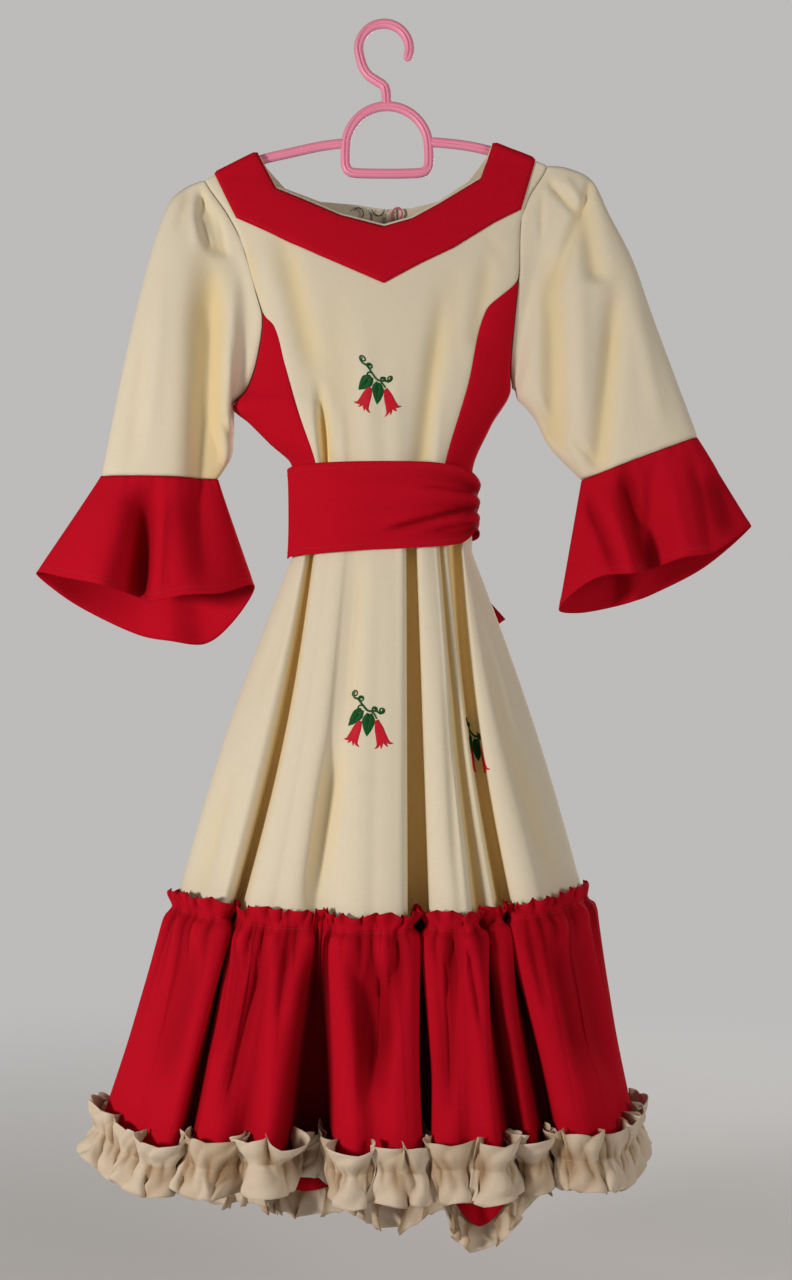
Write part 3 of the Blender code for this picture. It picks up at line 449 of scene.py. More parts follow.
def roll_edge(grid, outward, edges, depth=0.7, reach=2.5):
    """Turns edges of a piece slightly in, as a seam pulls them; outward are the piece's unit normals."""
    rows, columns = run_along(grid), run_along(grid, axis=1)
    distances = {
        "left": columns, "right": columns[:, -1:] - columns, "top": rows, "bottom": rows[-1:] - rows,
    }
    nearest = np.min([distances[edge] for edge in edges.split()], axis=0)
    return grid - outward * (depth * np.exp(-((nearest / reach) ** 2)))[..., None]


# %% [markdown]
# ## From a grid to a piece
#
# The grid becomes a mesh with a UV map in metres along its threads, and Solidify gives it a wall. The
# modifier is applied, so the piece is a closed shell whose faces all point outwards.

# %% Cloth piece
triangles = {}


def cloth(name, grid, finish, ring=False, wall=CLOTH_WALL, in_fold=None):
    """A piece of cloth: the grid's surface, closed on itself where it is a ring, with an even wall."""
    rows, columns = grid.shape[:2]
    mesh = bpy.data.meshes.new(name)
    first = np.arange(rows - 1)[:, None] * columns
    here = np.arange(columns if ring else columns - 1)[None]
    after = (here + 1) % columns
    faces = np.stack([first + here, first + after, first + columns + after, first + columns + here], axis=-1)
    mesh.from_pydata((grid.reshape(-1, 3) * MM).tolist(), [], faces.reshape(-1, 4).tolist())
    closed = np.concatenate([grid, grid[:, :1]], axis=1) if ring else grid
    u, v = run_along(closed, axis=1).mean(axis=0) * MM, run_along(closed).mean(axis=1) * MM
    corners = np.stack([
        np.stack(np.broadcast_arrays(u[at], -v[low : low + rows - 1, None]), axis=-1)
        for at, low in ((here, 0), (here + 1, 0), (here + 1, 1), (here, 1))
    ], axis=2)
    mesh.uv_layers.new(name="threads").data.foreach_set("uv", corners.astype(np.float32).ravel())
    # Painted shade: this attribute says how much each point is shaded for the fold that it lies in.
    depth = mesh.attributes.new("in_fold", "FLOAT", "POINT")
    if in_fold is not None:
        depth.data.foreach_set("value", np.clip(in_fold, 0, 1).astype(np.float32).ravel())
    mesh.materials.append(finishes[finish])
    mesh.shade_smooth()
    piece = put_in_scene(name, mesh)
    shell = piece.modifiers.new("wall", "SOLIDIFY")
    shell.thickness = wall * MM
    shell.offset = 0.0
    select_only(piece)
    bpy.ops.object.modifier_apply(modifier=shell.name)
    dress(piece, name)
    return piece


# %% Wires and stitches
def tube_faces(rings, around, first=0):
    """Faces of a closed tube of rings with so many points each; its first point has the number first."""
    ring, point = np.meshgrid(np.arange(rings - 1), np.arange(around), indexing="ij")
    here, after = first + ring * around + point, first + ring * around + (point + 1) % around
    quads = np.stack([here, after, after + around, here + around], axis=-1).reshape(-1, 4).tolist()
    last = first + (rings - 1) * around
    return [*quads, list(range(first, first + around)), list(range(last + around - 1, last - 1, -1))]


def closed_piece(name, points, faces, finish, corners=None):
    """Wire or stitches: closed rolls from their points and faces, with a corner of the UV map for each."""
    mesh = bpy.data.meshes.new(name)
    mesh.from_pydata((np.asarray(points) * MM).tolist(), [], faces)
    if corners is not None:
        mesh.uv_layers.new(name="threads").data.foreach_set("uv", np.ravel(corners).astype(np.float32))
    mesh.materials.append(finish)
    mesh.shade_smooth()
    piece = put_in_scene(name, mesh)
    select_only(piece)
    bpy.ops.object.mode_set(mode="EDIT")
    bpy.ops.mesh.select_all(action="SELECT")
    bpy.ops.mesh.normals_make_consistent(inside=False)
    bpy.ops.object.mode_set(mode="OBJECT")
    dress(piece, name)


# %% What a piece is, and what it measures
def dress(piece, name):
    """Lets a piece ride on the dress and stand for its solid, and counts its triangles."""
    piece.name = name + "_piece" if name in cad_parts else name
    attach(piece, "root")
    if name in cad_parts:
        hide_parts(name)
    count = sum(len(face.vertices) - 2 for face in piece.data.polygons)
    triangles[piece.name] = count
    print(f"{piece.name}: {count} triangles")


def cut_size(piece, flat, area=None):
    """Says what size the piece was cut to, in metres, and prints what it measures."""
    measured = sum(face.area for face in piece.data.polygons) / 2
    stated = area if area else flat[0] * flat[1]
    print(f"{piece.name}: measured {measured:.4f} m2, cut {stated:.4f} m2, ratio {measured / stated:.2f}")


# %% [markdown]
# ## Bodice
#
# The bodice is a princess cut: one centre front, two centre backs and four red side panels that reach up to
# the armholes. It hangs empty, so it is flat and falls in soft vertical folds. The outline of each edge is
# read from a table by height, and one formula gives the depth of the body's section at any point. Every panel
# is a grid on that one surface, so the panels meet along their seams. Small creases are gentle troughs along
# a line, and a negative depth makes a ridge.

# %% Outlines of the bodice
WAIST_Z = -462.0
RIDGE_HALF, RIDGE_ROUND, SETTLES_WITHIN = 7.2, 3.0, 25
FULLNESS, EDGE_ROUND = 2.4, 0.55
FRONT_TOP = table(
    "x z",
    ("left shoulder tip", -172, -146),
    ("left neck point", -121, -121),
    ("just below it", -120.3, -122.8),
    ("beside the arm", -117.8, -128.5),
    ("left neck corner", -102, -158),
    ("left neck slope", -72, -171),
    ("left of the point", -41, -185),
    ("neck point", 0, -196),
    ("right of the point", 27, -188),
    ("right neck slope", 53, -173),
    ("right neck corner", 92, -148),
    ("beside the other arm", 101.4, -119.6),
    ("just below the point", 103.4, -113.8),
    ("right neck point", 104, -112),
    ("right shoulder tip", 157, -132),
)
BACK_TOP = table(
    "x z",
    ("left shoulder tip", -172, -146),
    ("left neck point", -121, -121),
    ("just below it", -120.2, -122.6),
    ("behind the arm", -116.5, -128),
    ("left neck curve", -96, -150),
    ("left of the slit", -62, -162),
    ("left of the zip", -26, -165),
    ("zip", 0, -169),
    ("right of the zip", 26, -168),
    ("right of the slit", 52, -162),
    ("right neck curve", 82, -143),
    ("behind the other arm", 100.5, -119),
    ("just below the point", 103.2, -113.6),
    ("right neck point", 104, -112),
    ("right shoulder tip", 157, -132),
)
print("shoulder tip to shoulder tip, mm:", FRONT_TOP["x"][-1] - FRONT_TOP["x"][0])

# %% Sides and depth of the bodice
LEFT_SIDE = table(
    "z x edge_depth",
    ("shoulder tip", -146, -172, 0.2),
    ("below the tip", -152, -169, 6),
    ("cap notch", -180, -150, 11),
    ("narrowest front", -205, -137, 14),
    ("chest", -258, -121, 17),
    ("mid armhole", -283, -115, 17),
    ("lower armhole", -318, -120, 14),
    ("near the underarm", -350, -132, 7),
    ("underarm", -364, -146, 0.2),
    ("under the arm", -379, -130, 0.2),
    ("side", -399, -110, 0.2),
    ("above the sash", -420, -89, 0.2),
    ("waist", WAIST_Z, -86, 0.2),
)
RIGHT_SIDE = table(
    "z x edge_depth",
    ("shoulder tip", -132, 157, 0.2),
    ("below the tip", -139, 154, 6),
    ("cap notch", -166, 138, 11),
    ("narrowest front", -193, 130, 14),
    ("chest", -242, 128, 17),
    ("mid armhole", -286, 124, 15),
    ("near the underarm", -328, 121, 8),
    ("underarm", -346, 122, 0.2),
    ("side", -382, 103, 0.2),
    ("above the sash", -428, 85, 0.2),
    ("waist", WAIST_Z, 84, 0.2),
)
UNDERARM = {"left": -364.0, "right": -346.0}
BODY_DEPTH = table(
    "z front back",
    ("shoulder line", -112, 8, 8),
    ("back neck", -165, 17, 17),
    ("neck point", -196, 22, 23),
    ("band point", -252, 31, 30),
    ("chest", -310, 38, 34),
    ("underarm", -364, 42, 37),
    ("above the sash", -424, 46, 41),
    ("waist", WAIST_Z, 47, 42),
)
print("waist as it hangs, mm:", RIGHT_SIDE["x"][-1] - LEFT_SIDE["x"][-1])

# %% Princess seams
LEFT_PRINCESS = table(
    "z x",
    ("armhole", -280, -113),
    ("top of the curve", -290, -104),
    ("bust", -328, -93),
    ("midriff", -376, -79),
    ("above the sash", -421, -64),
    ("waist", WAIST_Z, -55),
)
RIGHT_PRINCESS = table(
    "z x",
    ("armhole", -250, 124),
    ("top of the curve", -260, 113),
    ("curve", -275, 97),
    ("bust", -348, 79),
    ("above the sash", -424, 57),
    ("waist", WAIST_Z, 50),
)
LEFT_BACK_PRINCESS = table(
    "z x",
    ("armhole", -268, -115),
    ("top of the curve", -282, -104),
    ("shoulder blade", -330, -90),
    ("waist", WAIST_Z, -58),
)
RIGHT_BACK_PRINCESS = table(
    "z x",
    ("armhole", -262, 122),
    ("top of the curve", -276, 108),
    ("shoulder blade", -330, 90),
    ("waist", WAIST_Z, 54),
)
print("centre front at the waist, mm:", RIGHT_PRINCESS["x"][-1] - LEFT_PRINCESS["x"][-1])

# %% Folds and creases of the bodice
FRONT_FOLDS = table(
    "x_top z_top x_bottom z_bottom width depth",
    ("beside the left seam", -61, -336, -50, -470, 5.5, 16),
    ("left of the middle", -50, -225, -30, -470, 16, 3),
    ("right of the middle", 62, -222, 29, -470, 10, 7.5),
    ("below the right neck", 104, -205, 88, -300, 9, 4),
)
BACK_FOLDS = table(
    "x_top z_top x_bottom z_bottom width depth",
    ("left blade", -70, -235, -34, -470, 14, 6),
    ("right blade", 66, -235, 30, -470, 14, 6),
)
FRONT_CREASES = table(
    "x z x_end z_end width depth",
    ("ridge left of the dark fold", -64, -372, -58, -470, 4, -1.6),
    ("ridge right of the dark fold", -40, -372, -36, -470, 5, -2.0),
    ("from the left neck corner", -98, -200, -62, -345, 12, 6.5),
    ("beside the left armhole", -131, -208, -112, -296, 5, 4.5),
    ("left chest", -112, -232, -86, -330, 9, -1.2),
    ("middle column, left edge", -18, -300, -8, -470, 9, -1.6),
    ("middle column, right edge", 12, -330, 12, -470, 8, -1.4),
    ("beside the right fold", 52, -330, 46, -470, 6, -1.8),
    ("below the band, right", 70, -235, 66, -330, 8, 1.5),
    ("towards the right armhole", 96, -200, 118, -232, 7, 1.2),
    ("towards the left armhole", -130, -196, -112, -262, 6, 1.3),
)
BACK_CREASES = table(
    "x z x_end z_end width depth",
    ("left of the slit", -30, -190, -22, -330, 9, 1.4),
    ("right of the slit", 24, -190, 20, -340, 9, 1.2),
    ("left blade ridge", -92, -240, -60, -400, 10, -1.5),
    ("right blade ridge", 88, -240, 58, -400, 10, -1.5),
    ("towards the left armhole", -128, -200, -104, -280, 7, 1.4),
    ("towards the right armhole", 122, -190, 104, -270, 7, 1.3),
)
print("creases in front:", len(FRONT_CREASES["depth"]), "and behind:", len(BACK_CREASES["depth"]))


# %% How folds and creases press in
def fold_depth(folds, x, z):
    """How far troughs press the cloth in at a point; each deepens downwards from its top."""
    total = np.zeros(np.broadcast(x, z).shape)
    for x_top, z_top, x_bottom, z_bottom, width, depth in zip(*folds.values()):
        share = (z_top - z) / (z_top - z_bottom)
        middle = x_top + (x_bottom - x_top) * share
        reach = smoothstep(share / 0.45) * smoothstep((1.15 - share) / 0.15)
        total += depth * reach * np.exp(-(((x - middle) / width) ** 2))
    return total


def crease_depth(creases, x, z):
    """How far creases press the cloth in at a point; each runs along a line and fades at both ends."""
    total = np.zeros(np.broadcast(x, z).shape)
    for x_start, z_start, x_end, z_end, width, depth in zip(*creases.values()):
        way = np.array((x_end - x_start, z_end - z_start))
        length = np.linalg.norm(way)
        along = ((x - x_start) * way[0] + (z - z_start) * way[1]) / length**2
        across = ((x - x_start) * way[1] - (z - z_start) * way[0]) / length
        reach = smoothstep((along + 0.15) / 0.45) * smoothstep((1.15 - along) / 0.45)
        total += depth * reach * np.exp(-((across / width) ** 2))
    return total


# %% The body's surface
SLOPE_STEP, CHEST_Z = 0.8, -310.0


def shoulder_line(x):
    """Height of the shoulder seams, and of the straight line between their neck ends."""
    ends = [0, 1, -2, -1]
    return np.interp(x, FRONT_TOP["x"][ends], FRONT_TOP["z"][ends])


def section_share(x, left, right):
    """Depth of the body's section at x, as a share of its depth at the middle."""
    across = np.clip((x - left) / (right - left), 0, 1)
    return (1 - np.abs(2 * across - 1) ** FULLNESS) ** EDGE_ROUND


def body_y(x, z, side):
    """Depth of the bodice at a point of its front (side -1) or its back (side 1)."""
    left, right = at_height(LEFT_SIDE, z), at_height(RIGHT_SIDE, z)
    across = np.clip((x - left) / (right - left), 0, 1)
    middle = at_height(BODY_DEPTH, z, "front" if side < 0 else "back")
    edge_left, edge_right = (at_height(rows, z, "edge_depth") for rows in (LEFT_SIDE, RIGHT_SIDE))
    edge = (1 - across) * edge_left + across * edge_right
    round_off = section_share(x, left, right)
    full = edge + (middle - edge) * round_off
    below = np.clip(shoulder_line(x) - z, 0, None)
    settled = 1 - np.exp(-below / SETTLES_WITHIN)
    ridge = RIDGE_HALF * np.sqrt(np.clip(below / RIDGE_ROUND, 0, 1))
    folds, creases = (FRONT_FOLDS, FRONT_CREASES) if side < 0 else (BACK_FOLDS, BACK_CREASES)
    pressed = fold_depth(folds, x, z) + crease_depth(creases, x, z)
    return side * (ridge * (1 - settled) + (full - pressed * round_off) * settled + BEND_GAP)


def body_point(x, z, side, out=0.0):
    """A point on the bodice, moved out of the cloth by a distance."""
    y = body_y(x, z, side)
    slope_x = (body_y(x + SLOPE_STEP, z, side) - body_y(x - SLOPE_STEP, z, side)) / (2 * SLOPE_STEP)
    slope_z = (body_y(x, z + SLOPE_STEP, side) - body_y(x, z - SLOPE_STEP, side)) / (2 * SLOPE_STEP)
    normal = unit(np.stack([-slope_x, np.ones_like(y), -slope_z], axis=-1) * side)
    return np.stack([x, y, z], axis=-1) + normal * np.asarray(out, float)[..., None]


chest_front, chest_back = (body_y(np.zeros(1), np.full(1, CHEST_Z), side)[0] for side in (-1, 1))
print("depth of the chest as it hangs, mm:", round(float(chest_back - chest_front), 1))


# %% Centre front and centre backs
PANEL_SPACING, PANEL_ROWS = 3.2, 92
# Fold depths, in mm, that set the painted shade: deep folds are shaded from DARK_FROM over DARK_WITHIN more,
# slight folds and creases up to SLIGHT_WITHIN, and the back's folds up to BACK_DARKEST.
DARK_FROM, DARK_WITHIN, SLIGHT_WITHIN, BACK_DARKEST = 6.0, 8.0, 18.0, 14.0


def outer_edge(side_rows, princess):
    """The edge of a centre panel: down the armhole, then down the princess seam."""
    above = side_rows["z"] > princess["z"][0]
    return {
        "z": np.concatenate([side_rows["z"][above], princess["z"]]),
        "x": np.concatenate([side_rows["x"][above], princess["x"]]),
    }


def centre_panel(top, left, right, side):
    """A panel from the shoulders and neckline to the waist; its lines keep their share of the width."""
    x, z = [top["x"][0]], [top["z"][0]]
    for i in range(len(top["x"]) - 1):
        length = math.hypot(top["x"][i + 1] - top["x"][i], top["z"][i + 1] - top["z"][i])
        steps = max(1, round(length / PANEL_SPACING))
        x.extend(np.linspace(top["x"][i], top["x"][i + 1], steps + 1)[1:])
        z.extend(np.linspace(top["z"][i], top["z"][i + 1], steps + 1)[1:])
    x, z = np.array(x), np.array(z)
    at_top = (x - at_height(left, z)) / (at_height(right, z) - at_height(left, z))
    down = np.linspace(0, 1, PANEL_ROWS)[:, None] ** 1.15
    heights = z + (WAIST_Z - z) * down
    middle = int(np.argmin(np.abs(x)))
    even = np.interp(np.arange(len(x)), (0, middle, len(x) - 1), (0, at_top[middle], 1))
    share = at_top + (even - at_top) * smoothstep(down / 0.35)
    places = at_height(left, heights) + share * (at_height(right, heights) - at_height(left, heights))
    return body_point(places, heights, side)


def half_of(grid, keep_left):
    """The part of a back panel on one side of the centre-back slit."""
    centre = int(np.argmin(np.abs(grid[0, :, 0])))
    return grid[:, : centre + 1] if keep_left else grid[:, centre:]


def facing_out(grid, side):
    """Unit normals of a panel, pointing out of the body."""
    normal = ring_normals(grid, ring=False)
    return normal * np.where(normal[..., 1:2] * side < 0, -1.0, 1.0)


front_edges = outer_edge(LEFT_SIDE, LEFT_PRINCESS), outer_edge(RIGHT_SIDE, RIGHT_PRINCESS)
back_edges = outer_edge(LEFT_SIDE, LEFT_BACK_PRINCESS), outer_edge(RIGHT_SIDE, RIGHT_BACK_PRINCESS)
front_grid = centre_panel(FRONT_TOP, *front_edges, -1)
front_grid = roll_edge(front_grid, facing_out(front_grid, -1), "left right")
# Painted shade on the front: full in its deep folds, and up to 0.45 in its slight folds and creases.
front_pressed = fold_depth(FRONT_FOLDS, front_grid[..., 0], front_grid[..., 2])
slight = front_pressed + crease_depth(FRONT_CREASES, front_grid[..., 0], front_grid[..., 2])
deep = smoothstep((front_pressed - DARK_FROM) / DARK_WITHIN)
painted_shade = np.maximum(deep, np.clip(slight / SLIGHT_WITHIN, 0, 0.45))
bodice_front = cloth("bodice_front", trim(front_grid, 0.1, 0.1, 0, 0.2), "cream_cloth", in_fold=painted_shade)
cut_size(bodice_front, (0.335, 0.36), area=0.064)

back_grid = centre_panel(BACK_TOP, *back_edges, 1)
back_grid = roll_edge(back_grid, facing_out(back_grid, 1), "left right")
for name, keep_left in (("back_left", True), ("back_right", False)):
    half = half_of(back_grid, keep_left)
    half = roll_edge(half, facing_out(half, 1), "right" if keep_left else "left", depth=1.0, reach=2.0)
    # Painted shade in the back's folds.
    painted_shade = fold_depth(BACK_FOLDS, half[..., 0], half[..., 2]) / BACK_DARKEST
    back_panel = cloth(name, trim(half, 0.2, 0.2, 0, 0.2), "cream_cloth", in_fold=painted_shade)
    cut_size(back_panel, (0.175, 0.36), area=0.034)

# %% Red side panels
def side_panel(edge, side_rows, top, side, columns=22, rows=64):
    """A panel between a princess seam and the side seam, from a narrow tip at the armhole to the waist."""
    down = np.linspace(0, 1, rows)[:, None]
    heights = top + (WAIST_Z - top) * down
    inner = at_height(edge, heights)
    outer = at_height(side_rows, heights)
    share = np.linspace(0, 1, columns + 1)
    left, right = (outer, inner) if side_rows is LEFT_SIDE else (inner, outer)
    places = left + share * (right - left)
    return body_point(places, np.broadcast_to(heights, places.shape), side)


for name, edge, side_rows, princess, side in (
    ("side_front_left", front_edges[0], LEFT_SIDE, LEFT_PRINCESS, -1),
    ("side_front_right", front_edges[1], RIGHT_SIDE, RIGHT_PRINCESS, -1),
    ("side_back_left", back_edges[0], LEFT_SIDE, LEFT_BACK_PRINCESS, 1),
    ("side_back_right", back_edges[1], RIGHT_SIDE, RIGHT_BACK_PRINCESS, 1),
):
    panel = side_panel(edge, side_rows, princess["z"][0] + 3.0, side)
    panel = roll_edge(panel, facing_out(panel, side), "left right")
    side_piece = cloth(name, trim(panel, 0.1, 0.1, 0, 0.2), "red_cloth")
    cut_size(side_piece, (0.075, 0.21), area=0.009)

# %% [markdown]
# ## Neck band
#
# The pointed band lies on the front panel and is sewn down along both edges. Its inner and outer edges are
# two lines of a table, so it is a grid between them, set a little off the front's surface. Its inner edge is
# turned over a cream facing, which shows as a thin pale line round the neckline.

# %% Band
BAND = table(
    "x_in z_in x_out z_out",
    ("left shoulder", -121, -121.2, -162, -141),
    ("left slope", -113, -137, -151, -164),
    ("left corner", -102, -158, -140, -186),
    ("left upper", -72, -171, -105, -203),
    ("left lower", -41, -185, -60, -225),
    ("point", 0, -196, 0, -252),
    ("right lower", 27, -188, 34, -233),
    ("right upper", 53, -173, 66, -217),
    ("right corner", 92, -148, 104, -192),
    ("right slope", 98, -131, 130, -178),
    ("right shoulder", 104, -112.2, 145, -127),
)
BAND_OUT, BAND_EDGE_DROP, BAND_EDGE_SHARE = LAID_ON + 1.0, 1.7, 0.045


def band_lines(steps):
    """Both edges of the band in the plane of the front, from the left shoulder to the right one."""
    count = len(BAND["x_in"])
    places = np.linspace(0, count - 1, steps * (count - 1) + 1)
    return [
        np.stack([np.interp(places, range(count), BAND[axis + edge]) for axis in ("x", "z")], axis=-1)
        for edge in ("_in", "_out")
    ]


inner_line, outer_line = band_lines(14)
across_band = np.linspace(0, 1, 15)[:, None, None]
flat_band = inner_line + (outer_line - inner_line) * across_band
from_edge = np.minimum(across_band, 1 - across_band)[..., 0] / BAND_EDGE_SHARE
off_cloth = BAND_OUT - BAND_EDGE_DROP * np.exp(-(from_edge**2))
band_grid = body_point(flat_band[..., 0], flat_band[..., 1], -1, off_cloth)
neck_band = cloth("neck_band", trim(band_grid, 0.8, 0.8, 0.3, 0), "red_cloth")
cut_size(neck_band, (0.345, 0.15), area=0.0172)

# %% [markdown]
# ## Sleeves
#
# Each sleeve is a tube that starts at the armhole and widens to the elbow. It hangs empty, nearly flat, so
# each of its rings is a long narrow loop from the outer outline to the underarm seam. The sleeve's head has a
# little extra width pleated into the armhole, which makes the sharp short folds at the shoulder.

# %% Sleeve outlines
LEFT_SLEEVE = table(
    "x_out z_out x_in z_in bow half_depth",
    ("head", -190, -153, -150, -366, 36, 15),
    ("top of the head", -206, -168, -149, -371, 30, 22),
    ("upper arm", -220, -205, -147, -377, 25, 28),
    ("middle", -234, -258, -145, -385, 17, 31),
    ("above the elbow", -247, -315, -145, -396, 9, 31),
    ("elbow", -259, -374, -147, -412, 4, 29),
    ("cuff seam", -270, -431, -160, -433, 0, 27),
)
RIGHT_SLEEVE = table(
    "x_out z_out x_in z_in bow half_depth",
    ("head", 178, -135, 126, -348, -9, 15),
    ("top of the head", 200, -147, 127, -352, -8, 22),
    ("upper arm", 216, -180, 129, -357, -7, 28),
    ("middle", 238, -224, 136, -364, -5, 31),
    ("above the elbow", 257, -278, 146, -377, -3, 31),
    ("elbow", 279, -337, 160, -403, -1, 29),
    ("cuff seam", 300, -393, 190, -434, 0, 27),
)
print("sleeves hang, mm:", *(rows["z_out"][0] - rows["z_out"][-1] for rows in (LEFT_SLEEVE, RIGHT_SLEEVE)))

# %% Folds and creases of the sleeves
LEFT_SLEEVE_FOLDS = table(
    "x_top z_top x_bottom z_bottom width depth",
    ("long soft valley", -164, -196, -170, -428, 15, 20),
    ("cap", -176, -150, -158, -215, 8, 5),
)
RIGHT_SLEEVE_FOLDS = table(
    "x_top z_top x_bottom z_bottom width depth",
    ("cap", 186, -150, 200, -240, 10, 7),
    ("inner valley", 158, -200, 163, -385, 11, 10),
    ("outer valley", 222, -225, 205, -412, 10, 9),
)
LEFT_SLEEVE_CREASES = table(
    "x z x_end z_end width depth",
    ("cap pleat, top", -171, -154, -177, -186, 3.4, 4.4),
    ("cap pleat, bottom", -177, -182, -166, -216, 3.4, 4.4),
    ("beside the pleat", -180, -162, -178, -214, 5.0, -2.6),
    ("second pleat", -184, -158, -196, -196, 3.6, 2.4),
    ("cap, near the seam", -158, -176, -150, -222, 3.2, 2.4),
    ("along the valley", -140, -240, -146, -350, 7, -3.0),
    ("crease to the cuff", -177, -350, -177, -436, 5, 3.0),
    ("underarm diagonal", -166, -392, -148, -432, 4, 3.2),
    ("second diagonal", -156, -372, -142, -400, 4, 2.6),
    ("outer soft fold", -222, -290, -240, -425, 9, 2.4),
    ("outer ridge", -210, -250, -222, -400, 9, -2.0),
)
RIGHT_SLEEVE_CREASES = table(
    "x z x_end z_end width depth",
    ("cap pleat, left arm", 154, -146, 182, -180, 3.6, 5.4),
    ("cap ridge", 172, -148, 190, -176, 4.6, -3.4),
    ("cap pleat, right arm", 197, -146, 188, -186, 4.0, 4.6),
    ("below the cap pleats", 186, -182, 160, -256, 7, 5.5),
    ("short fold", 150, -160, 150, -204, 3.4, 2.6),
    ("beside the valley", 184, -240, 186, -380, 9, -2.6),
    ("outer ridge", 236, -262, 262, -384, 9, -2.6),
    ("underarm diagonal", 150, -366, 178, -420, 5, 3.4),
    ("second diagonal", 146, -352, 168, -398, 4, -2.2),
    ("elbow crease", 178, -396, 200, -418, 4, 2.8),
)
# SLEEVE_DARKEST is the fold depth, in mm, that would give full painted shade; a sleeve takes at most half of
# it.
SLEEVE_TURNS, SLEEVE_ROWS, SLEEVE_DARKEST = 64, 76, 24
print("creases of the sleeves:", len(LEFT_SLEEVE_CREASES["depth"]), "and", len(RIGHT_SLEEVE_CREASES["depth"]))


# %% Sleeve shape
def armhole_levels(side_rows, underarm, count):
    """Heights down the armhole, spaced evenly along its edge."""
    z = np.linspace(side_rows["z"][0], underarm, 400)
    edge = np.stack([at_height(side_rows, z), at_height(side_rows, z, "edge_depth"), z], axis=-1)
    return in_even_steps(edge, z, count)


def armhole_ring(side_rows, levels, outward):
    """The armhole's edge, set off by a gap: from the shoulder tip down the front and up the back."""
    x = at_height(side_rows, levels)
    away = unit(np.stack([np.gradient(levels), -np.gradient(x)], axis=-1) * -outward)
    away[0], away[-1] = (outward, 0.3), (outward * 1.6, 0.4)
    x_off, z_off = (np.stack([x, levels], axis=-1) + away * ARMHOLE_GAP).T
    front, back = (np.stack([x_off, body_y(x, levels, side), z_off], axis=-1) for side in (-1, 1))
    front[0, 1] = front[-1, 1] = 0.0
    return np.concatenate([front, back[-2:0:-1]])


def sleeve_grid(rows, side_rows, underarm, folds, creases, outward):
    """A sleeve from the armhole's edge to its cuff seam, flattened front and back, with its folds."""
    levels = armhole_levels(side_rows, underarm, SLEEVE_TURNS)
    down = (levels[0] - levels) / (levels[0] - levels[-1])
    along = np.concatenate([down, down[-2:0:-1]])
    behind = np.arange(len(along)) >= len(down)
    round_off = np.sqrt(np.clip(1 - (1 - 2 * along) ** 2, 0, 1)) ** 0.62
    rings = [armhole_ring(side_rows, levels, outward)]
    for i in range(len(rows["bow"])):
        x = rows["x_out"][i] + (rows["x_in"][i] - rows["x_out"][i]) * along
        x += rows["bow"][i] * 4 * along * (1 - along)
        z = rows["z_out"][i] + (rows["z_in"][i] - rows["z_out"][i]) * along
        y = np.where(behind, 1, -1) * rows["half_depth"][i] * round_off
        rings.append(np.stack([x, y, z], axis=-1))
    last = len(rings) - 1
    places = np.concatenate([np.linspace(0, 1, 13)[:-1], np.linspace(1, last, SLEEVE_ROWS - 12)])
    grid = finer_rows(np.stack(rings), places)
    pressed = fold_depth(folds, grid[..., 0], grid[..., 2]) * np.where(behind, 0.45, 1.0)
    pressed += crease_depth(creases, grid[..., 0], grid[..., 2]) * np.where(behind, 0.6, 1.0)
    pressed = np.minimum(pressed * smoothstep(places / 0.9)[:, None], 0.7 * np.abs(grid[..., 1]))
    grid[..., 1] += np.where(behind, -1, 1) * pressed
    return grid


def sleeve_folds(grid, folds, creases):
    """The painted shade that each point of a sleeve gets from the folds it lies in, half as much behind."""
    x, z = grid[..., 0], grid[..., 2]
    pressed = fold_depth(folds, x, z) + crease_depth(creases, x, z)
    return np.clip(pressed / SLEEVE_DARKEST, 0, 0.5) * np.where(grid[..., 1] > 0, 0.5, 1.0)


# %% [markdown]
# ## Cuffs
#
# A circular cuff is cut as a ring, so its hem is much longer than the seam that it hangs from and it falls in
# lobes. The hem's line is a closed curve through a table of points, and the cuff is the surface from the
# sleeve's end to it.

# %% Edges and creases of the cuffs
LEFT_CUFF = table(
    "x y z",
    ("left tip", -334, 0, -523),
    ("front left", -296, -28, -529),
    ("first lobe", -265, -42, -535),
    ("into the valley", -247, -26, -541),
    ("valley", -233, -8, -547),
    ("ridge", -216, -40, -551),
    ("second lobe", -184, -49, -545),
    ("front right", -152, -38, -543),
    ("right tip", -124, -6, -535),
    ("back right", -148, 24, -570),
    ("lowest back", -177, 40, -591),
    ("back valley", -210, 28, -588),
    ("back", -243, 44, -582),
    ("back left", -293, 34, -558),
    ("behind the tip", -317, 18, -541),
)
RIGHT_CUFF = table(
    "x y z",
    ("right tip", 352, -2, -478),
    ("front right", 309, -34, -505),
    ("second lobe", 280, -41, -510),
    ("valley", 251, -18, -521),
    ("rib", 235, -47, -525),
    ("first lobe", 205, -43, -527),
    ("front left", 184, -29, -538),
    ("left tip", 168, 0, -558),
    ("back left", 187, 22, -561),
    ("lowest back", 224, 42, -555),
    ("back valley", 245, 28, -549),
    ("back", 267, 44, -541),
    ("back right", 309, 32, -519),
    ("behind the tip", 336, 20, -497),
)
LEFT_CUFF_CREASES = table(
    "x z x_end z_end width depth",
    ("valley", -228, -440, -231, -556, 12, 12),
    ("right edge of the valley", -208, -452, -212, -556, 6, -5),
    ("soft fold", -184, -446, -166, -536, 13, 6),
    ("left slope", -262, -440, -288, -520, 12, -3),
)
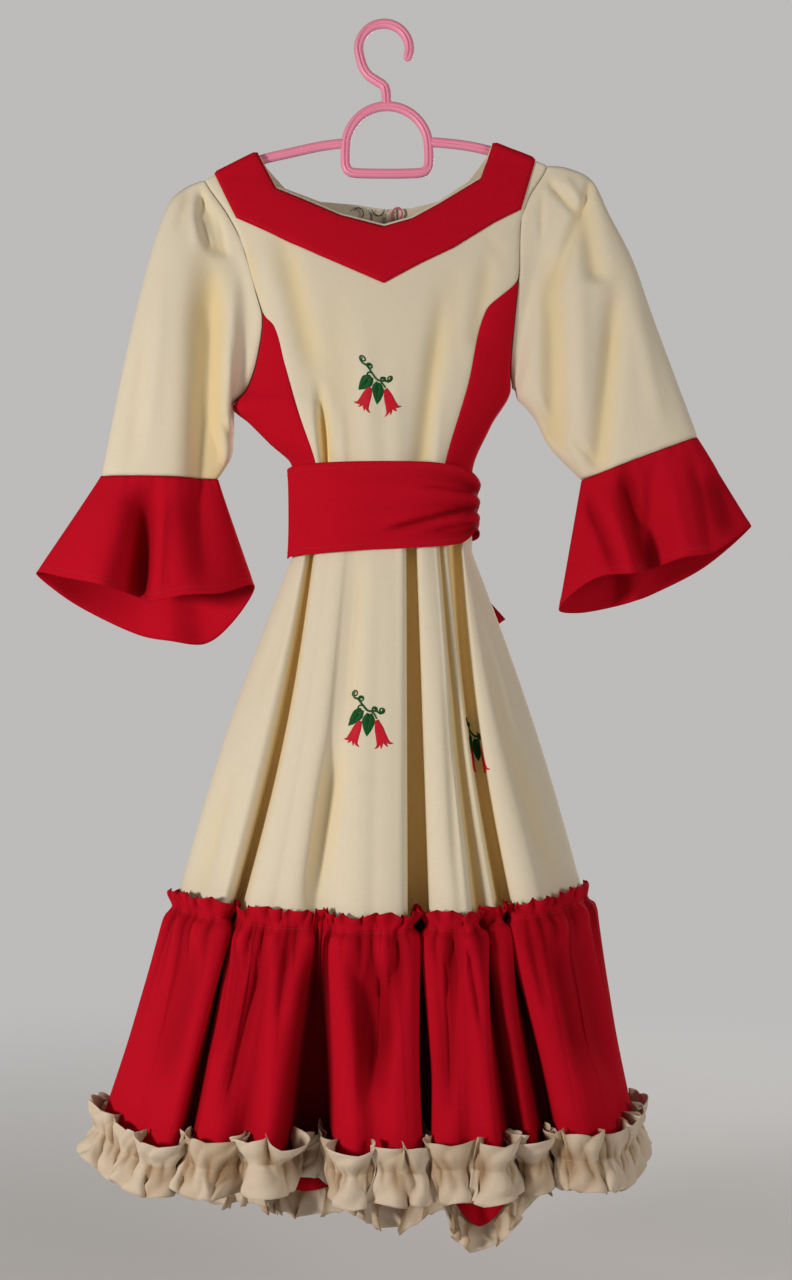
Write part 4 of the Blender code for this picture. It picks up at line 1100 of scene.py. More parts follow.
RIGHT_CUFF_CREASES = table(
    "x z x_end z_end width depth",
    ("deep valley", 225, -418, 247, -526, 9, 14),
    ("rib beside it", 205, -438, 232, -524, 6, -4),
    ("first lobe's edge", 193, -448, 219, -526, 6, 7),
    ("second valley", 292, -414, 308, -508, 7, 4),
    ("right slope", 314, -428, 330, -486, 15, 9),
    ("second lobe", 262, -424, 282, -510, 10, -3),
)
# CUFF_DARKEST is the crease depth, in mm, that gives full painted shade.
CUFF_ROWS, CUFF_COLUMNS, CUFF_DARKEST = 34, 180, 26
SEAM_PUCKER, PUCKER_SHARE = 0.9, 0.12
HEM_FOLD, HEM_FOLD_AT, HEM_FOLD_SHARE = 0.35, 0.955, 0.02
print("points of the cuffs' hems:", len(LEFT_CUFF["x"]), "and", len(RIGHT_CUFF["x"]))


# %% Sleeves with their cuffs
def cuff_grid(seam, edge, creases):
    """A circular cuff from the sleeve's end to its wavy edge; both run from the outer tip along the front."""
    knots = points_of(edge)
    places = even_places(knots, 0, len(knots), CUFF_COLUMNS)[:-1]
    share = np.linspace(0, 1, CUFF_ROWS)[:, None]
    inner_tip = int(np.argmax(np.abs(knots[:, 0] - knots[0, 0])))
    half_way = len(seam) / 2
    turns = np.interp(places, [0, inner_tip, len(knots)], [0, half_way, 2 * half_way])
    start, hem = spline(seam, turns), spline(knots, places)
    grid = start + (hem - start) * share[..., None]
    puckers = (np.sin(places * 7.3) * 0.5 + np.sin(places * 4.1 + 1) * 0.5) * np.exp(-share / PUCKER_SHARE)
    hem_fold = np.exp(-(((share - HEM_FOLD_AT) / HEM_FOLD_SHARE) ** 2))
    pressed = crease_depth(creases, grid[..., 0], grid[..., 2]) * smoothstep(-grid[..., 1] / 6)
    room = 0.85 * np.clip(-grid[..., 1], 0, None)
    grid[..., 1] += np.minimum(pressed * smoothstep(share / 0.25), room)
    made = grid + ring_normals(grid) * (puckers * SEAM_PUCKER - hem_fold * HEM_FOLD)[..., None]
    # With the cuff goes the painted shade of its creases, by how far they press in.
    return made, pressed / CUFF_DARKEST


SLEEVE_CUT, CUFF_CUT = (0.43, 0.32), (0.36, 0.36)
cuff_shapes = {}
for name, outward, side_rows, rows, folds, creases, edge, cuff_creases in (
    ("left", -1, LEFT_SIDE,
     LEFT_SLEEVE, LEFT_SLEEVE_FOLDS, LEFT_SLEEVE_CREASES, LEFT_CUFF, LEFT_CUFF_CREASES),
    ("right", 1, RIGHT_SIDE,
     RIGHT_SLEEVE, RIGHT_SLEEVE_FOLDS, RIGHT_SLEEVE_CREASES, RIGHT_CUFF, RIGHT_CUFF_CREASES),
):
    grid = sleeve_grid(rows, side_rows, UNDERARM[name], folds, creases, outward)
    cuff_seam = grid[-1].copy()
    outward_normals = ring_normals(grid)
    if outward_normals[5, 10, 1] > 0:  # a point in front, where outwards is towards the viewer
        outward_normals = -outward_normals
    grid = roll_edge(grid, outward_normals, "top bottom", reach=2.4)
    # Painted shade in the sleeve's folds and creases.
    painted_shade = sleeve_folds(grid, folds, creases)
    sleeve = cloth("sleeve_" + name, trim(grid, bottom=0.2), "cream_cloth", ring=True, in_fold=painted_shade)
    cut_size(sleeve, SLEEVE_CUT, area=0.077)
    cuff_shapes[name], painted_shade = cuff_grid(cuff_seam, edge, cuff_creases)
    cuff = cloth("cuff_" + name, trim(cuff_shapes[name], top=0.4), "red_cloth", ring=True, in_fold=painted_shade)
    cut_size(cuff, CUFF_CUT, area=0.05)

# %% [markdown]
# ## Skirt
#
# The skirt flares from the waist to the seam of the flounce and hangs in deep folds. Its section at any
# height is a smooth closed curve through one point for each ridge and each valley, so every fold runs down
# the skirt as one line, widening as it falls. The centre-back seam carries the concealed fastening, so the
# back is cut in two.

# %% Folds right round the skirt
# The last two columns are painted shade: glow is the warm painted shade down a valley of the cream skirt (it
# also brings the flounce's heading forward there), and dark is the painted shade of a valley on the red
# flounce. The ochre of the ochre valley is painted shade too.
FOLDS = table(
    "x_waist pressed_in bow x_seam y_seam z_seam x_hem y_hem z_hem glow dark",
    ("left side", -86, 0, -7, -194, -5, -828, -271, -8, -1052, 0, 0),
    ("left lobe", -81, 0, -5, -166, -62, -826, -226, -66, -1062, 0, 0),
    ("first fold, left", -73, 0, 4, -143, -84, -826, -196, -86, -1062, 0.05, 0),
    ("first fold", -68, 16, 7, -134, -48, -825, -184, -60, -1062, 1, 0.9),
    ("first fold, right", -62, 0, 8, -122, -92, -828, -170, -92, -1060, 0, 0),
    ("second ridge", -55, 0, 5, -108, -101, -828, -150, -100, -1059, 0, 0),
    ("soft fold", -50, 0.5, 3, -97, -104, -829, -128, -86, -1059, 0, 0.35),
    ("third ridge", -44, 0, 2, -84, -107, -829, -106, -104, -1058, 0, 0),
    ("third ridge, right", -38, 0.5, 1, -70, -108, -829, -91, -90, -1058, 0, 0.55),
    ("dark valley, left", -33, 2, 0, -60, -102, -829, -80, -46, -1060, 0.1, 1),
    ("dark valley, right", -28, 2, 0, -50, -102, -829, -54, -44, -1060, 0.1, 1),
    ("middle column, left", -21, 0, 0, -38, -107, -831, -41, -101, -1060, 0, 0),
    ("middle crest", -13, 0, 0, -24, -112, -831, -25, -115, -1060, 0, 0),
    ("middle soft fold", -4, 0, 0, -9, -112, -832, -7, -107, -1059, 0, 0.2),
    ("middle crest, right", 8, 0, 0, 5, -112, -832, 14, -116, -1059, 0, 0),
    ("middle column, right", 19, 0, 0, 18, -107, -832, 34, -107, -1059, 0, 0),
    ("deep valley, left", 22, 20, 0, 23, -58, -828, 37, -66, -1062, 1, 1),
    ("deep valley, right", 28, 20, 0, 38, -58, -828, 43, -66, -1062, 0.9, 1),
    ("third column, left", 34, 1, 0, 45, -100, -831, 46, -106, -1059, 0, 0),
    ("third column", 43, 0, 0, 60, -110, -831, 62, -117, -1057, 0, 0),
    ("third soft fold", 47, 0, 0, 69, -109, -831, 78, -109, -1056, 0, 0.25),
    ("third crest, right", 50, 0, -1, 77, -106, -830, 100, -117, -1056, 0, 0),
    ("thin line", 52, 8, -2, 83, -80, -829, 119, -78, -1058, 0.75, 0.9),
    ("fourth column", 58, 1, -4, 97, -94, -827, 136, -96, -1056, 0.15, 0.3),
    ("ochre valley, left", 63, 16, -7, 108, -58, -825, 152, -66, -1058, 1, 1),
    ("ochre valley", 69, 18, -8, 115, -56, -824, 158, -64, -1058, 1, 1),
    ("fifth column", 75, 0, -6, 119, -88, -824, 166, -90, -1054, 0, 0),
    ("fifth crest", 79, 0, -3, 138, -90, -822, 184, -94, -1056, 0, 0),
    ("fifth column, right", 81, 0, 0, 154, -74, -820, 204, -80, -1058, 0.05, 0.1),
    ("right lobe", 83, 0, 3, 172, -46, -818, 222, -54, -1056, 0, 0),
    ("right side", 84, 0, 6, 188, -5, -820, 238, -8, -1046, 0, 0),
    ("back lobe right", 78, 0, 3, 160, 56, -838, 196, 60, -1102, 0, 0),
    ("back valley right", 62, 9, 0, 120, 28, -852, 146, 26, -1106, 0.8, 0.8),
    ("back lobe low", 46, 0, 0, 87, 66, -880, 96, 70, -1176, 0, 0),
    ("back valley", 28, 10, 0, 52, 34, -866, 52, 26, -1120, 0.9, 0.9),
    ("centre back", 4, 0, 0, 12, 69, -870, 8, 73, -1156, 0, 0),
    ("back valley mid", -20, 10, 0, -24, 34, -862, -34, 26, -1118, 0.9, 0.9),
    ("back lobe left", -40, 0, 0, -62, 68, -864, -80, 71, -1141, 0, 0),
    ("back valley left", -58, 9, 0, -98, 32, -854, -122, 27, -1114, 0.9, 0.9),
    ("far back lobe", -74, 0, -3, -137, 57, -848, -169, 62, -1124, 0, 0),
    ("behind the left side", -83, 3, -5, -173, 24, -836, -230, 28, -1082, 0.3, 0.3),
)
LEFT_SIDE_FOLD, RIGHT_SIDE_FOLD, CENTRE_BACK_FOLD, FOLD_COUNT = 0, 30, 35, 41
SKIRT_CREASES = table(
    "x z x_end z_end width depth",
    ("middle column, upper", -21, -500, -32, -668, 8, 4.0),
    ("middle column, lower", -42, -685, -66, -830, 10, 9),
    ("left lobe", -84, -530, -122, -640, 9, 5),
    ("left lobe, low", -150, -700, -172, -822, 12, 5),
    ("fifth column, upper", 90, -540, 116, -676, 7, 5),
    ("fifth column, lower", 116, -664, 160, -812, 10, 6),
    ("third column", 62, -620, 66, -800, 7, 2.5),
)
FLOUNCE_CREASES = table(
    "x z x_end z_end width depth",
    ("left panel", -171, -862, -206, -990, 15, 7),
    ("beside the first fold", -128, -860, -150, -960, 8, 7),
    ("second ridge, left side", -108, -866, -140, -1006, 11, 11),
    ("third ridge", -81, -858, -94, -930, 7, 6),
    ("middle V, left arm", -28, -866, -14, -960, 9, 6),
    ("middle V", -8, -872, -10, -1000, 13, 13),
    ("middle V, right arm", 14, -866, 2, -960, 8, 7),
    ("third column", 58, -858, 56, -1010, 11, 11),
    ("third column, right", 72, -840, 88, -930, 5, 6),
    ("fifth column", 156, -858, 186, -975, 11, 11),
    ("fifth column, left", 130, -840, 150, -920, 6, 6),
    ("right lobe", 178, -846, 212, -990, 12, 7),
)
SKIRT_HELD, SKIRT_UNDERLAP = 0.11, 5.0
# FRONT_DARKEST is the crease depth, in mm, that would give full painted shade; creases give at most half.
SKIRT_ROWS, SKIRT_FINER, FRONT_DARKEST = 54, 5, 26
FRONT_WAVES, BACK_WAVES, POINTS_A_WAVE = 24, 16, 6
HEADING, HEADING_FORWARD, STITCHES_LOWER = 13.0, 24.0, 15.0
FLOUNCE_ROWS = table(
    "below_seam lift",
    ("heading edge", -HEADING, 3.6),
    ("stitch line", 0.0, 2.9),
    ("first fall", 16.0, 5.6),
    ("half way", 85.0, 3.4),
    ("low", 155.0, 0.8),
    ("hem", 236.0, 0.0),
)
FLOUNCE_DROP = FLOUNCE_ROWS["below_seam"][-1]
print("ridges and valleys round the skirt:", FOLD_COUNT, "creases in front:", len(SKIRT_CREASES["depth"]))


# %% Sections of the skirt and the flounce
def waist_knots():
    """Where each fold meets the waist: on the bodice's own section there, pressed in."""
    x = FOLDS["x_waist"]
    front = np.arange(len(x)) <= RIGHT_SIDE_FOLD
    left, right = LEFT_SIDE["x"][-1], RIGHT_SIDE["x"][-1]
    depth = np.where(front, BODY_DEPTH["front"][-1], BODY_DEPTH["back"][-1]) * section_share(x, left, right)
    y = np.where(front, -1, 1) * np.maximum(depth - FOLDS["pressed_in"], 0)
    return np.stack([x, y, np.full_like(x, WAIST_Z)], axis=-1)


def hem_knots():
    return points_of(FOLDS, "x_hem y_hem z_hem")


def seam_knots():
    """Each fold where it meets the flounce's stitches, STITCHES_LOWER below the table's line."""
    line = points_of(FOLDS, "x_seam y_seam z_seam")
    way = hem_knots() - line
    return line - way * STITCHES_LOWER / way[:, 2:]


def skirt_ring(share, places):
    """Section of the skirt at a share of its height; the sash holds it in above SKIRT_HELD."""
    waist, seam = waist_knots(), seam_knots()
    flare = max(0.0, (share - SKIRT_HELD) / (1 - SKIRT_HELD))
    knots = waist + (seam - waist) * flare
    knots[:, 0] += FOLDS["bow"] * math.sin(math.pi * min(flare, 1.0))
    knots[:, 2] = waist[:, 2] + (seam[:, 2] - waist[:, 2]) * share
    return spline(knots, places)


def flounce_ring(below, places):
    """Section of the flounce below its stitch line, before its gathers; above that line it is the skirt's."""
    seam, hem = seam_knots(), hem_knots()
    if below < 0:
        return skirt_ring(1 + below / (WAIST_Z - seam[:, 2].mean()), places)
    return spline(seam + (hem - seam) * (below / FLOUNCE_DROP), places)


def wave_places():
    """Places of the gathers' points right round, and how many of them are in front."""
    knots = (seam_knots() + hem_knots()) / 2
    front = even_places(knots, LEFT_SIDE_FOLD, RIGHT_SIDE_FOLD, FRONT_WAVES * POINTS_A_WAVE)
    back = even_places(knots, RIGHT_SIDE_FOLD, FOLD_COUNT, BACK_WAVES * POINTS_A_WAVE)
    return np.concatenate([front, back[1:-1]]), len(front)


def fold_share(column, places):
    """From 0 on a ridge to 1 in a valley that lies in shadow, at places round the skirt."""
    closed = np.append(FOLDS[column], FOLDS[column][0])
    return smoothstep(np.interp(places, np.arange(FOLD_COUNT + 1), closed))


def refined(values, factor, closing):
    """A ring's values at factor times as many points; closing is the value where it meets its start."""
    closed = np.append(values, closing)
    return np.interp(np.arange(len(values) * factor) / factor, np.arange(len(closed)), closed)


# %% Skirt pieces
wave_points, in_front = wave_places()
skirt_points = wave_points[::2]
shares = np.concatenate([np.linspace(0, SKIRT_HELD, 7)[:-1], np.linspace(SKIRT_HELD, 1, SKIRT_ROWS - 7)])
skirt_rows = [skirt_ring(share, skirt_points) for share in shares]
skirt_rows.append(flounce_ring(SKIRT_UNDERLAP, skirt_points))
skirt_grid = finer_rings(np.stack(skirt_rows), SKIRT_FINER)


def press_front(grid, creases, spared):
    """Presses creases into the front of a ring's grid, except where it is spared; and the painted shade that
    they give.
    """
    normal = ring_normals(grid)
    in_front_half = smoothstep((-grid[..., 1] - 20) / 30) * smoothstep(2 - 2 * normal[..., 1])
    pressed = crease_depth(creases, grid[..., 0], grid[..., 2]) * in_front_half * (1 - spared)
    return grid - normal * pressed[..., None], np.clip(pressed / FRONT_DARKEST, 0, 0.5)


# Painted shade on the skirt: a warm painted glow down each shaded valley, and painted shade along the
# creases, which are not pressed into those valleys.
skirt_painted_glow = fold_share("glow", refined(skirt_points, SKIRT_FINER, FOLD_COUNT))
skirt_painted_shade = skirt_painted_glow * np.ones((len(skirt_grid), 1))
skirt_grid, slight = press_front(skirt_grid, SKIRT_CREASES, skirt_painted_shade)
skirt_painted_shade = np.maximum(skirt_painted_shade, slight)
last_front = (in_front - 1) // 2 * SKIRT_FINER
centre = int(np.argmin(np.abs(wave_points - CENTRE_BACK_FOLD))) // 2 * SKIRT_FINER


def strip_of(grid, first, last):
    """Columns first to last of a ring's grid, which may run past its end to its start."""
    return np.take(grid, np.arange(first, last + 1) % grid.shape[1], axis=1)


for name, first, last, flat, area in (
    ("skirt_front", 0, last_front, (0.72, 0.395), 0.19),
    ("skirt_back_right", last_front, centre, (0.30, 0.435), 0.078),
    ("skirt_back_left", centre, skirt_grid.shape[1], (0.32, 0.435), 0.083),
):
    strip, painted_shade = strip_of(skirt_grid, first, last), strip_of(skirt_painted_shade, first, last)
    skirt_piece = cloth(name, trim(strip, EDGE_TRIM, EDGE_TRIM, 0.2, 0), "cream_cloth", in_fold=painted_shade)
    cut_size(skirt_piece, flat, area=area)

# %% [markdown]
# ## Gathered flounce
#
# The flounce is a strip a quarter longer than the skirt's lower edge, with all its folds. It is gathered on a
# line of stitches 13 mm below its raw edge, so a small ruffled heading stands above the line and the gathers
# fan out below it. The gathers are soft uneven waves that are moved out of the section, and they stay small
# where a fold leaves little room.

# %% Gathers
LEAST_ROOM, FREE_ROOM = 0.7, 9
NEAR_STITCHES, STITCHES_OUT = 10, 1.3
GATHER_FINER, FLOUNCE_LINES = 5, 46
GATHERS = table(
    "waves seed height reach",
    ("broad", 30, 3, 7.4, 85),
    ("narrow", 52, 5, 7.2, 42),
    ("at the stitches", 110, 8, 2.8, 12),
)
FRILLS = table(
    "waves seed out up",
    ("large", 48, 13, 7.0, 5.0),
    ("small", 110, 17, 3.2, -4.5),
)
FRILL_BACK, FRILL_UP, FRILL_SIDEWAYS = 1.5, 1.5, -5.0
print("gathers round the flounce:", GATHERS["waves"].tolist(), "frills:", FRILLS["waves"].tolist())


def uneven_waves(count, waves, seed):
    """Where each point of a ring lies in uneven waves (2.5 is the middle of wave 2), and their height."""
    chance = np.random.default_rng(seed)
    widths, heights = chance.uniform(0.5, 1.7, waves), chance.uniform(0.5, 1.3, waves)
    edges = np.concatenate([[0], np.cumsum(widths) / widths.sum()]) * count
    place = np.interp(np.arange(count), edges, np.arange(waves + 1))
    return place, heights[np.minimum(place.astype(int), waves - 1)]


def waves_of(rows, count):
    return [uneven_waves(count, int(waves), int(seed)) for waves, seed in zip(rows["waves"], rows["seed"])]


def lobes(place, height, sharp=0.75):
    """Round lobes with sharp creases between them, from 0 in a crease to the wave's height."""
    return np.abs(np.sin(math.pi * place)) ** sharp * height


def free_distance(ring, most=20.0):
    """How far each point of a section can move out before it comes nearer to another part of a fold."""
    flat = ring[:, :2]
    across = way_round(flat, axis=0)
    normal = unit(np.stack([across[:, 1], -across[:, 0]], axis=-1))
    found = np.zeros(len(flat))
    for distance in np.arange(1.0, most):
        moved = flat + normal * distance
        nearest = np.linalg.norm(moved[:, None] - flat[None], axis=2).min(axis=1)
        found[(nearest >= 0.93 * distance) & (found == distance - 1)] = distance
    return np.minimum(found, np.minimum(np.roll(found, 1), np.roll(found, -1)) + 2)


def finer_room(room, factor):
    """How far a finer ring may move out, from 0 where folds touch to 1 where nothing is in its way."""
    return np.clip(refined(room, factor, room[0]) / FREE_ROOM, 0.1, 1)


# %% The flounce before its gathers
below = np.concatenate([
    np.linspace(-HEADING, 0, 9)[:-1],
    np.linspace(0, 20, 9)[:-1],
    np.linspace(20, FLOUNCE_DROP, FLOUNCE_LINES - 16),
])
rings = np.stack([flounce_ring(value, wave_points) for value in below])
on_skirt = below <= 0
rings[on_skirt, 1::2] = (rings[on_skirt, 0::2] + np.roll(rings[on_skirt, 0::2], -1, axis=1)) / 2
lift = glide(FLOUNCE_ROWS["below_seam"], FLOUNCE_ROWS["lift"], below)[:, None]
seam_row = int(np.argmin(np.abs(below)))
room = free_distance(rings[seam_row])
least = np.where(on_skirt, LAID_ON + 0.6, 0)[:, None]
flounce_coarse = move_out(rings, np.maximum(np.minimum(lift, LEAST_ROOM * room), least))
flounce_grid = finer_rings(flounce_coarse, GATHER_FINER)
count = flounce_grid.shape[1]
free = finer_room(room, GATHER_FINER)
print("rows of the flounce:", len(below), "points right round:", count)

# %% Gathers and frills
falling, standing = np.clip(below, 0, None)[:, None], np.clip(-below, 0, None)[:, None]
# relief is how far the gathers stand out; creased is the painted shade in the creases between gathers and
# between frills.
relief, creased = np.zeros(flounce_grid.shape[:2]), np.zeros(flounce_grid.shape[:2])
for (place, uneven), height, reach in zip(waves_of(GATHERS, count), GATHERS["height"], GATHERS["reach"]):
    fades = np.exp(-((falling / (reach * uneven)) ** 1.3)) * np.exp(-standing / 4)
    rises = 0.3 + 0.7 * smoothstep(falling / 9)
    relief += height * (lobes(place, uneven) - 0.5) * fades * rises
    creased = np.maximum(creased, (1 - lobes(place, 1.0, 0.5)) * fades * min(height / 6, 1))
relief = np.maximum(relief, np.where(falling < NEAR_STITCHES, STITCHES_OUT - lift, -np.inf))
(frill, frill_height), (small_frill, small_height) = waves_of(FRILLS, count)
large, small = lobes(frill, frill_height), lobes(small_frill, small_height)
frills_out, frills_up = (FRILLS[column][0] * large + FRILLS[column][1] * small for column in ("out", "up"))
stands = smoothstep(standing / HEADING)
relief += (frills_out - FRILL_BACK) * stands
creased = np.maximum(creased, (1 - np.minimum(lobes(frill, 1.0, 0.5), lobes(small_frill, 1.0, 0.5))) * stands)
outward, along_seam = ring_normals(flounce_grid), unit(way_round(flounce_grid))
sideways = FRILL_SIDEWAYS * np.sin(2 * math.pi * frill) * frill_height * stands
flounce_grid += outward * (relief * free)[..., None] + along_seam * (sideways * free)[..., None]
flounce_grid[..., 2] += stands * (frills_up + FRILL_UP)
to_viewer = np.where(flounce_grid[..., 1] < 0, -1, 1)
gather_points = refined(wave_points, GATHER_FINER, FOLD_COUNT)
flounce_grid[..., 1] += HEADING_FORWARD * to_viewer * stands * fold_share("glow", gather_points)
print("gathers stand out up to, mm:", round(float(relief.max()), 1))

# %% Flounce pieces
# Painted shade on the flounce: in the skirt's shaded valleys, growing below the stitches, along its creases
# and in the creases between its gathers.
flounce_painted_shade = fold_share("dark", gather_points) * smoothstep(below / 60)[:, None]
held = np.maximum(flounce_painted_shade, 1 - smoothstep((below - 6) / 30)[:, None])
flounce_grid, slight = press_front(flounce_grid, FLOUNCE_CREASES, held)
flounce_painted_shade = np.maximum(flounce_painted_shade, np.maximum(slight, 0.8 * creased * free))
front_end = (in_front - 1) * GATHER_FINER
for name, first, last, flat in (
    ("flounce_front", 0, front_end, (0.90, 0.25)),
    ("flounce_back", front_end, count, (0.83, 0.262)),
):
    strip, painted_shade = strip_of(flounce_grid, first, last), strip_of(flounce_painted_shade, first, last)
    flounce = cloth(name, trim(strip, EDGE_TRIM, EDGE_TRIM), "red_cloth", in_fold=painted_shade)
    cut_size(flounce, flat)

# %% [markdown]
# ## Hem ruffle
#
# The ruffle is a strip gathered along its middle and sewn to the flounce's edge, so it stands out above and
# below the stitches in round loops. Each wave is moved along the hem as well as out from it, which turns a
# plain wave into a loop with a narrow neck, as stiff gathered cloth makes.

# %% Loops of the ruffle
RUFFLE_ABOVE, RUFFLE_BELOW, RUFFLE_FINER = 27.0, 30.0, 6
RUFFLE_ROWS = table(
    "below_line lift upper_lobe lower_lobe",
    ("upper edge", -RUFFLE_ABOVE, 3.5, 16.0, 0.0),
    ("upper half", -0.5 * RUFFLE_ABOVE, 3.8, 11.0, 0.0),
    ("above the line", -5.0, 3.2, 3.0, 0.6),
    ("gathering line", 0.0, 2.2, 0.8, 0.8),
    ("below the line", 5.0, 2.6, 0.6, 3.4),
    ("lower half", 15.0, 0.2, 0.0, 10.0),
    ("lower edge", RUFFLE_BELOW, -2.2, 0.0, 14.0),
)
RUFFLE_WAVES = table(
    "waves seed",
    ("upper loops", 44, 21),
    ("lower loops", 62, 4),
    ("puckers at the stitches", 150, 9),
    ("crumples", 120, 57),
    ("how the loops lean", 19, 41),
    ("how the edge wanders", 23, 30),
)
LOOP_SHIFT, EDGE_DIP, LEAN, WANDER = 7.5, 7.5, 8.0, 3.0
PUCKER, CRUMPLE, CRUMPLE_UP, CRUMPLE_SLANT = 3.4, 5.0, 4.0, 1.1
RUFFLE_WALL = 0.7
print("width of the ruffle, mm:", RUFFLE_ABOVE + RUFFLE_BELOW, "loops:", RUFFLE_WAVES["waves"][:2].tolist())

# %% Ruffle
hem_line = flounce_coarse[-1]
down_way = unit(hem_line - flounce_coarse[-6])
below_line = np.concatenate([np.linspace(-RUFFLE_ABOVE, 0, 12)[:-1], np.linspace(0, RUFFLE_BELOW, 12)])
gathering_row = int(np.argmin(np.abs(below_line)))
ruffle_grid = finer_rings(np.stack([hem_line + down_way * value for value in below_line]), RUFFLE_FINER)
count = ruffle_grid.shape[1]
free = finer_room(free_distance(hem_line), RUFFLE_FINER)
outward, along_hem = ring_normals(ruffle_grid), unit(way_round(ruffle_grid))
(
    (upper, upper_height), (lower, lower_height), (pucker, pucker_height),
    (crumple, crumple_height), (leaning, lean_height), (wander, wander_height),
) = waves_of(RUFFLE_WAVES, count)
lift, upper_lobe, lower_lobe = (
    glide(RUFFLE_ROWS["below_line"], RUFFLE_ROWS[column], below_line)[:, None]
    for column in ("lift", "upper_lobe", "lower_lobe")
)
near_line = np.exp(-((below_line / 13) ** 2))[:, None]
relief = upper_lobe * lobes(upper, upper_height, 0.6) + lower_lobe * lobes(lower, lower_height, 0.6)
relief += PUCKER * near_line * lobes(pucker, pucker_height)
from_line = smoothstep(np.abs(below_line) / RUFFLE_BELOW)[:, None]
crumpled = lobes(crumple + CRUMPLE_SLANT * below_line[:, None] / RUFFLE_BELOW, crumple_height) - 0.6
relief += CRUMPLE * np.sqrt(from_line) * crumpled
is_upper = below_line[:, None] < 0
loop = -LOOP_SHIFT * from_line * np.sin(2 * math.pi * np.where(is_upper, upper, lower))
loop = loop + LEAN * np.sin(2 * math.pi * leaning) * lean_height * below_line[:, None] / RUFFLE_BELOW
ruffle_grid += outward * (lift + relief * free)[..., None] + along_hem * (loop * free)[..., None]
dip = np.where(is_upper, -lobes(upper, upper_height), 0.4 * lobes(lower, lower_height)) + 0.5 * is_upper
ruffle_grid[..., 2] += EDGE_DIP * dip * from_line**2 + WANDER * (lobes(wander, wander_height, 1.0) - 0.5)
ruffle_grid[..., 2] += CRUMPLE_UP * crumpled * from_line**2
# Painted shade on the ruffle: between its loops and along the puckered gathering line, less on the crumples
# that stand out and more in their hollows.
round_loop = np.where(is_upper, lobes(upper, upper_height, 0.6), lobes(lower, lower_height, 0.6))
ruffle_painted_shade = 0.85 * (1 - 1.3 * round_loop) + near_line * (0.8 - 0.7 * lobes(pucker, pucker_height))
ruffle_painted_shade = ruffle_painted_shade - 0.4 * crumpled * from_line
front_end = (in_front - 1) * RUFFLE_FINER
for name, first, last, flat in (
    ("hem_ruffle_front", 0, front_end, (1.3, 0.06)),
    ("hem_ruffle_back", front_end, count, (1.02, 0.06)),
):
    strip, painted_shade = strip_of(ruffle_grid, first, last), strip_of(ruffle_painted_shade, first, last)
    ruffle = cloth(
        name, trim(strip, EDGE_TRIM, EDGE_TRIM), "ruffle_cloth", wall=RUFFLE_WALL, in_fold=painted_shade
    )
    cut_size(ruffle, flat)

# %% [markdown]
# ## Sash
#
# The sash is one soft band wound round the waist and knotted behind. It is smooth at the front left, and from
# there its cloth is drawn together towards the right side, so its pleats run along it and meet there.

# %% Edges and creases of the sash
SASH_EDGES = table(
    "place z_top z_bottom pleat",
    ("left side", 0.0, -425, -509, 0.0),
    ("front left", 0.12, -422, -507, 0.0),
    ("front middle", 0.27, -421, -502, 0.3),
    ("front right", 0.385, -424, -497, 1.4),
    ("pinch", 0.462, -434, -483, 3.0),
    ("right side", 0.5, -437, -487, 2.0),
    ("back right", 0.6, -436, -492, 1.2),
    ("right of the knot", 0.73, -447, -485, 2.2),
    ("left of the knot", 0.79, -447, -485, 2.2),
    ("back left", 0.9, -432, -499, 1.0),
    ("left side again", 1.0, -425, -509, 0.0),
)
SASH_OFF, SASH_PLEATS, SASH_EDGE_LIFT, SASH_BEYOND_SIDE = 3.6, 3.0, 1.2, 1.5
SASH_COLUMNS, SASH_LINES = 260, 32
SASH_CREASES = table(
    "x z x_end z_end width depth",
    ("long fold", -4, -486, 86, -461, 3.6, 3.2),
    ("upper fold", 30, -443, 88, -449, 2.6, 2.0),
    ("lower fold", 40, -487, 88, -474, 2.4, 2.2),
    ("ridge above the long fold", 8, -474, 84, -456, 3.4, -1.8),
    ("ridge below it", 16, -489, 86, -468, 3.0, -1.5),
    ("soft front wave", -80, -474, 30, -450, 14, 0.9),
    ("soft front ridge", -60, -446, 20, -438, 10, -0.9),
)
print("width of the sash where it is narrowest, mm:", np.min(SASH_EDGES["z_top"] - SASH_EDGES["z_bottom"]))


# %% Sash
def sash_section(turn):
    """Points of the waist's section at shares of the way round from the left side."""
    angle = math.pi - turn * 2 * math.pi
    left, right = LEFT_SIDE["x"][-1] - SASH_BEYOND_SIDE, RIGHT_SIDE["x"][-1] + SASH_BEYOND_SIDE
    half_width, middle = (right - left) / 2, (right + left) / 2
    depth = np.where(np.sin(angle) > 0, BODY_DEPTH["front"][-1], BODY_DEPTH["back"][-1])
    x = middle + half_width * np.sign(np.cos(angle)) * np.abs(np.cos(angle)) ** 0.8
    y = -depth * np.sign(np.sin(angle)) * np.abs(np.sin(angle)) ** 0.8
    return np.stack([x, y], axis=-1)


